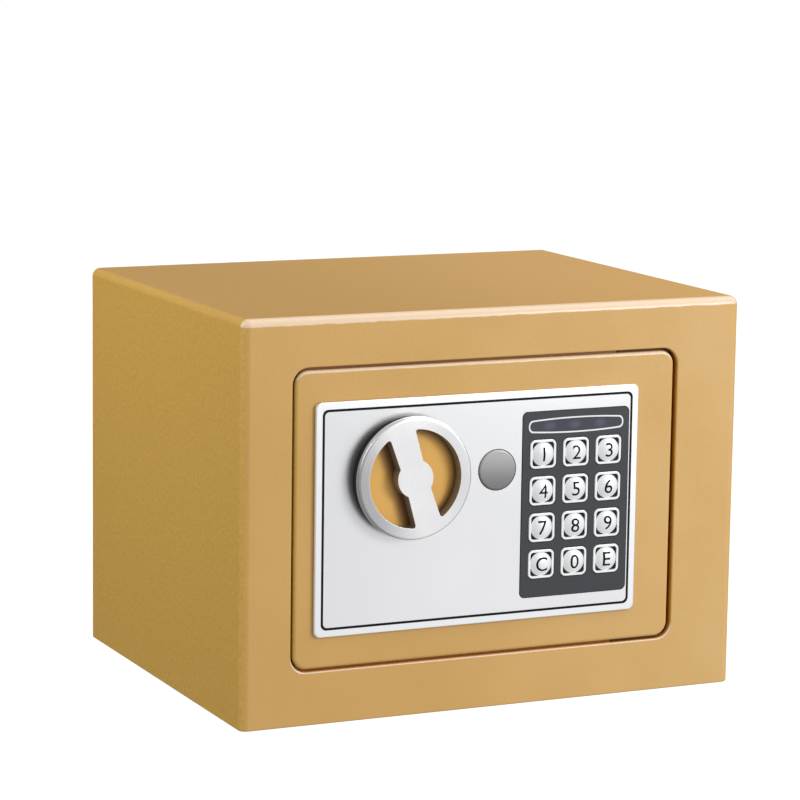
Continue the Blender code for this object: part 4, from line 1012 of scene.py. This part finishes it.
# Painted shade: a dark brown in place of the gold paint in deep shade, on the hinge rod and on
# strips seen through the gaps above and below the door.
gap_shade_brown = speckled("gap_shade_brown", 0.0012, (78, 46, 12), (98, 60, 20), (0.5, 0.2), 3.0)
eased_copy("shade_brown_hinge_rod", "hinge_rod", gap_shade_brown, 0.0004)
for name, low_z, high_z in (
    ("upper_edge_strip", door_high.z - 0.001, door_high.z + 0.00105),
    ("lower_edge_strip", door_low.z - 0.00105, door_low.z + 0.001),
):
    strip = bmesh.new()
    outline(strip, (stop_high.x + 0.0003, low_z), (door_high.x - 0.0005, high_z), 0.0003, 2)
    stamp(strip, door_high.y + 0.00005, door_high.y + 0.001)
    piece(name, strip, gap_shade_brown, "door")
for name, node in (
    ("steel_spindle", "knob_spindle"), ("spindle_crank", "spindle_cam"),
    ("bolt_slide", "bolt_carrier"), ("left_guide_stud", "guide_stud_left"),
    ("right_guide_stud", "guide_stud_right"),
):
    eased_copy(name, node, zinc, 0.0002)

bright = speckled(
    "bright_chrome", 0.008, (222, 223, 226), (240, 241, 243), (0.08, 0.1), 3.0, Metallic=1.0
)
for name, node in (("upper_round_bolt", "bolt_upper"), ("lower_round_bolt", "bolt_lower")):
    low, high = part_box(node)
    radius = (high.y - low.y) / 2
    bolt = turned([
        (0, low.x), (radius - 0.0022, low.x), (radius - 0.001, low.x + 0.0004),
        (radius - 0.0004, low.x + 0.001), (radius, low.x + 0.0022), (radius, high.x - 0.0003),
        (radius - 0.0003, high.x), (0, high.x),
    ], 64)
    along_x = Matrix.Rotation(-pi / 2, 3, "Z")
    bmesh.ops.rotate(bolt, verts=bolt.verts, cent=(0, 0, 0), matrix=along_x)
    place = (0, (low.y + high.y) / 2, (low.z + high.z) / 2)
    bmesh.ops.translate(bolt, verts=bolt.verts, vec=place)
    piece(name, bolt, bright, "boltwork", node, slot="bolt_chrome")

# ---------------------------------------------------------------------------
# Solenoid. A bent zinc frame round a copper coil; a steel plunger blocks the
# bolt slide until the coil lifts it against its spring.
# ---------------------------------------------------------------------------

eased_copy("solenoid_yoke", "solenoid_frame", zinc, 0.0002)
eased_copy("solenoid_steel_plunger", "solenoid_plunger", zinc, 0.0002)
eased_copy("plunger_coil_spring", "plunger_spring", zinc, 0)
copper, flow, shader = finish("enamelled_copper", Metallic=0.8, Coat_Weight=0.4)
WIRE = 0.0004
turns = (where(flow).along(UP) * (2 * pi / WIRE)).math("SINE") * 0.5 + 0.5
feed(flow, shader, "Base Color", turns.tint(rgb(128, 58, 24), rgb(196, 104, 52)))
feed(flow, shader, "Roughness", 0.3 + 0.1 * turns)
relief(flow, shader, turns, 0.0001)
eased_copy("copper_coil_winding", "solenoid_coil", copper, 0.0003)

# ---------------------------------------------------------------------------
# Inside of the door. A black moulded cover over the lock, fixed by four pan
# head screws, with a sliding battery lid and a red reset button.
# ---------------------------------------------------------------------------

black_plastic, flow, shader = finish("black_moulded_plastic")
grain = noise(flow, 0.0007, 3.0, 0.6)
cloud = noise(flow, 0.03, 2.0)
uneven = 0.5 * grain + 0.5 * cloud
feed(flow, shader, "Base Color", uneven.tint(rgb(24, 24, 26), rgb(44, 44, 47)))
feed(flow, shader, "Roughness", 0.42 + 0.2 * grain)
relief(flow, shader, grain, 0.00008)
eased_copy("lock_back_cover", "back_cover", black_plastic, 0.0004)
eased_copy("battery_holder", "battery_tray", black_plastic, 0.0002)
eased_copy("battery_sliding_lid", "battery_lid", black_plastic, 0.0003)
eased_copy("reset_switch_body", "reset_switch", black_plastic, 0.0002)

red_plastic = speckled(
    "red_plastic", 0.0008, (168, 22, 20), (196, 34, 28), (0.3, 0.12), Coat_Weight=0.2
)
eased_copy("red_reset_button", "reset_button", red_plastic, 0.0004, 3)

HEAD_RADIUS, SHANK_RADIUS, SLOT_REACH, SLOT_HALF = 0.0034, 0.0017, 0.0021, 0.00042
cover_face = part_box("back_cover")[1].y
for number in range(1, 5):
    low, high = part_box(f"cover_screw_{number}")
    x, z = middle(f"cover_screw_{number}")
    screw = bmesh.new()
    hoop(screw, 0, 0, HEAD_RADIUS, 40)
    slot = bmesh.new()
    bmesh.ops.create_grid(slot, x_segments=3, y_segments=3, size=SLOT_REACH)
    for vert in slot.verts:
        for axis in (0, 1):
            if abs(vert.co[axis]) < SLOT_REACH * 0.9:
                vert.co[axis] = copysign(SLOT_HALF, vert.co[axis])
    corners = [
        face for face in slot.faces
        if min(abs(c) for c in face.calc_center_median()[:2]) > SLOT_HALF
    ]
    bmesh.ops.delete(slot, geom=corners, context="FACES")
    inside = [edge for edge in slot.edges if len(edge.link_faces) == 2]
    bmesh.ops.dissolve_edges(slot, edges=inside)
    bmesh.ops.delete(slot, geom=slot.faces[:], context="FACES_ONLY")
    turn = Matrix.Rotation(radians(17 * number), 3, "Y") @ Matrix.Rotation(pi / 2, 3, "X")
    bmesh.ops.rotate(slot, verts=slot.verts, matrix=turn)
    join(screw, slot)
    stamp(screw, cover_face + 0.0002, high.y)
    neck = cover_face + 0.0009
    shank = turned([(0, low.y), (SHANK_RADIUS, low.y), (SHANK_RADIUS, neck), (0, neck)], 32)
    join(screw, shank)
    bmesh.ops.translate(screw, verts=screw.verts, vec=(x, 0, z))
    screw = piece(f"pan_head_screw_{number}", screw, zinc, "door", f"cover_screw_{number}")
    ease(screw, 0.0004, 4)

RIDGE_START, RIDGE_PITCH, RIDGE_WIDTH = 0.005, 0.0022, 0.001
RIDGE_END, RIDGE_HEIGHT = 0.016, 0.0006
low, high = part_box("battery_lid")
ridges = bmesh.new()
for step in range(5):
    x = low.x + RIDGE_START + RIDGE_PITCH * step
    outline(ridges, (x, low.z + RIDGE_END), (x + RIDGE_WIDTH, high.z - RIDGE_END), 0.0004, 4)
stamp(ridges, high.y, high.y + RIDGE_HEIGHT)
ease(piece("lid_finger_ridges", ridges, black_plastic, "battery_lid"), 0.0003, 3)

# ---------------------------------------------------------------------------
# Electronics. A green circuit board with three light diodes, four AA cells and
# two sleeved leads, which the door holds all the way.
# ---------------------------------------------------------------------------

board_green, flow, shader = finish("circuit_board_green", Coat_Weight=0.4, Coat_Roughness=0.2)
tracks = flow.node(
    "ShaderNodeTexVoronoi", {"feature": "DISTANCE_TO_EDGE"}, {"Vector": where(flow), "Scale": 400}
)
copper_line = 1.0 - tracks.between(0.04, 0.09)
feed(flow, shader, "Base Color", copper_line.tint(rgb(18, 74, 44), rgb(44, 116, 66)))
feed(flow, shader, "Roughness", 0.3 + 0.1 * copper_line)
eased_copy("keypad_circuit_board", "keypad_board", board_green, 0.0001)
for node, name, dark, light in (
    ("led_left", "left_amber_diode", (196, 120, 20), (236, 164, 60)),
    ("led_middle", "middle_green_diode", (40, 150, 60), (90, 200, 100)),
    ("led_right", "right_red_diode", (170, 24, 20), (220, 60, 50)),
):
    diode = speckled(
        name, 0.001, dark, light, (0.15, 0.1), Coat_Weight=0.5, Coat_Roughness=0.05
    )
    eased_copy(name, node, diode, 0.0001)

cell_wrap, flow, shader = finish("cell_printed_sleeve", Coat_Weight=0.5, Coat_Roughness=0.1)
SLEEVE_BAND, STUD_HEIGHT = 0.0165, 0.0022
cell_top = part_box("battery_1")[1].z
height = where(flow).along(UP)
top_band = height.between(cell_top - SLEEVE_BAND, cell_top - SLEEVE_BAND + 0.0002)
tip = height.between(cell_top - STUD_HEIGHT, cell_top - STUD_HEIGHT + 0.0001)
smear = noise(flow, 0.006, 2.0)
band = top_band.tint(rgb(58, 84, 122), rgb(204, 206, 208))
feed(flow, shader, "Base Color", tip.tint(band, rgb(196, 198, 200)))
feed(flow, shader, "Roughness", 0.25 + 0.12 * smear)
for number in range(1, 5):
    eased_copy(f"aa_cell_{number}", f"battery_{number}", cell_wrap, 0.0003)

sleeve = speckled("lead_sleeve_vinyl", 0.0008, (150, 22, 20), (176, 36, 30), (0.4, 0.15))
eased_copy("battery_sleeved_lead", "battery_lead", sleeve, 0)
eased_copy("solenoid_sleeved_lead", "solenoid_lead", sleeve, 0)
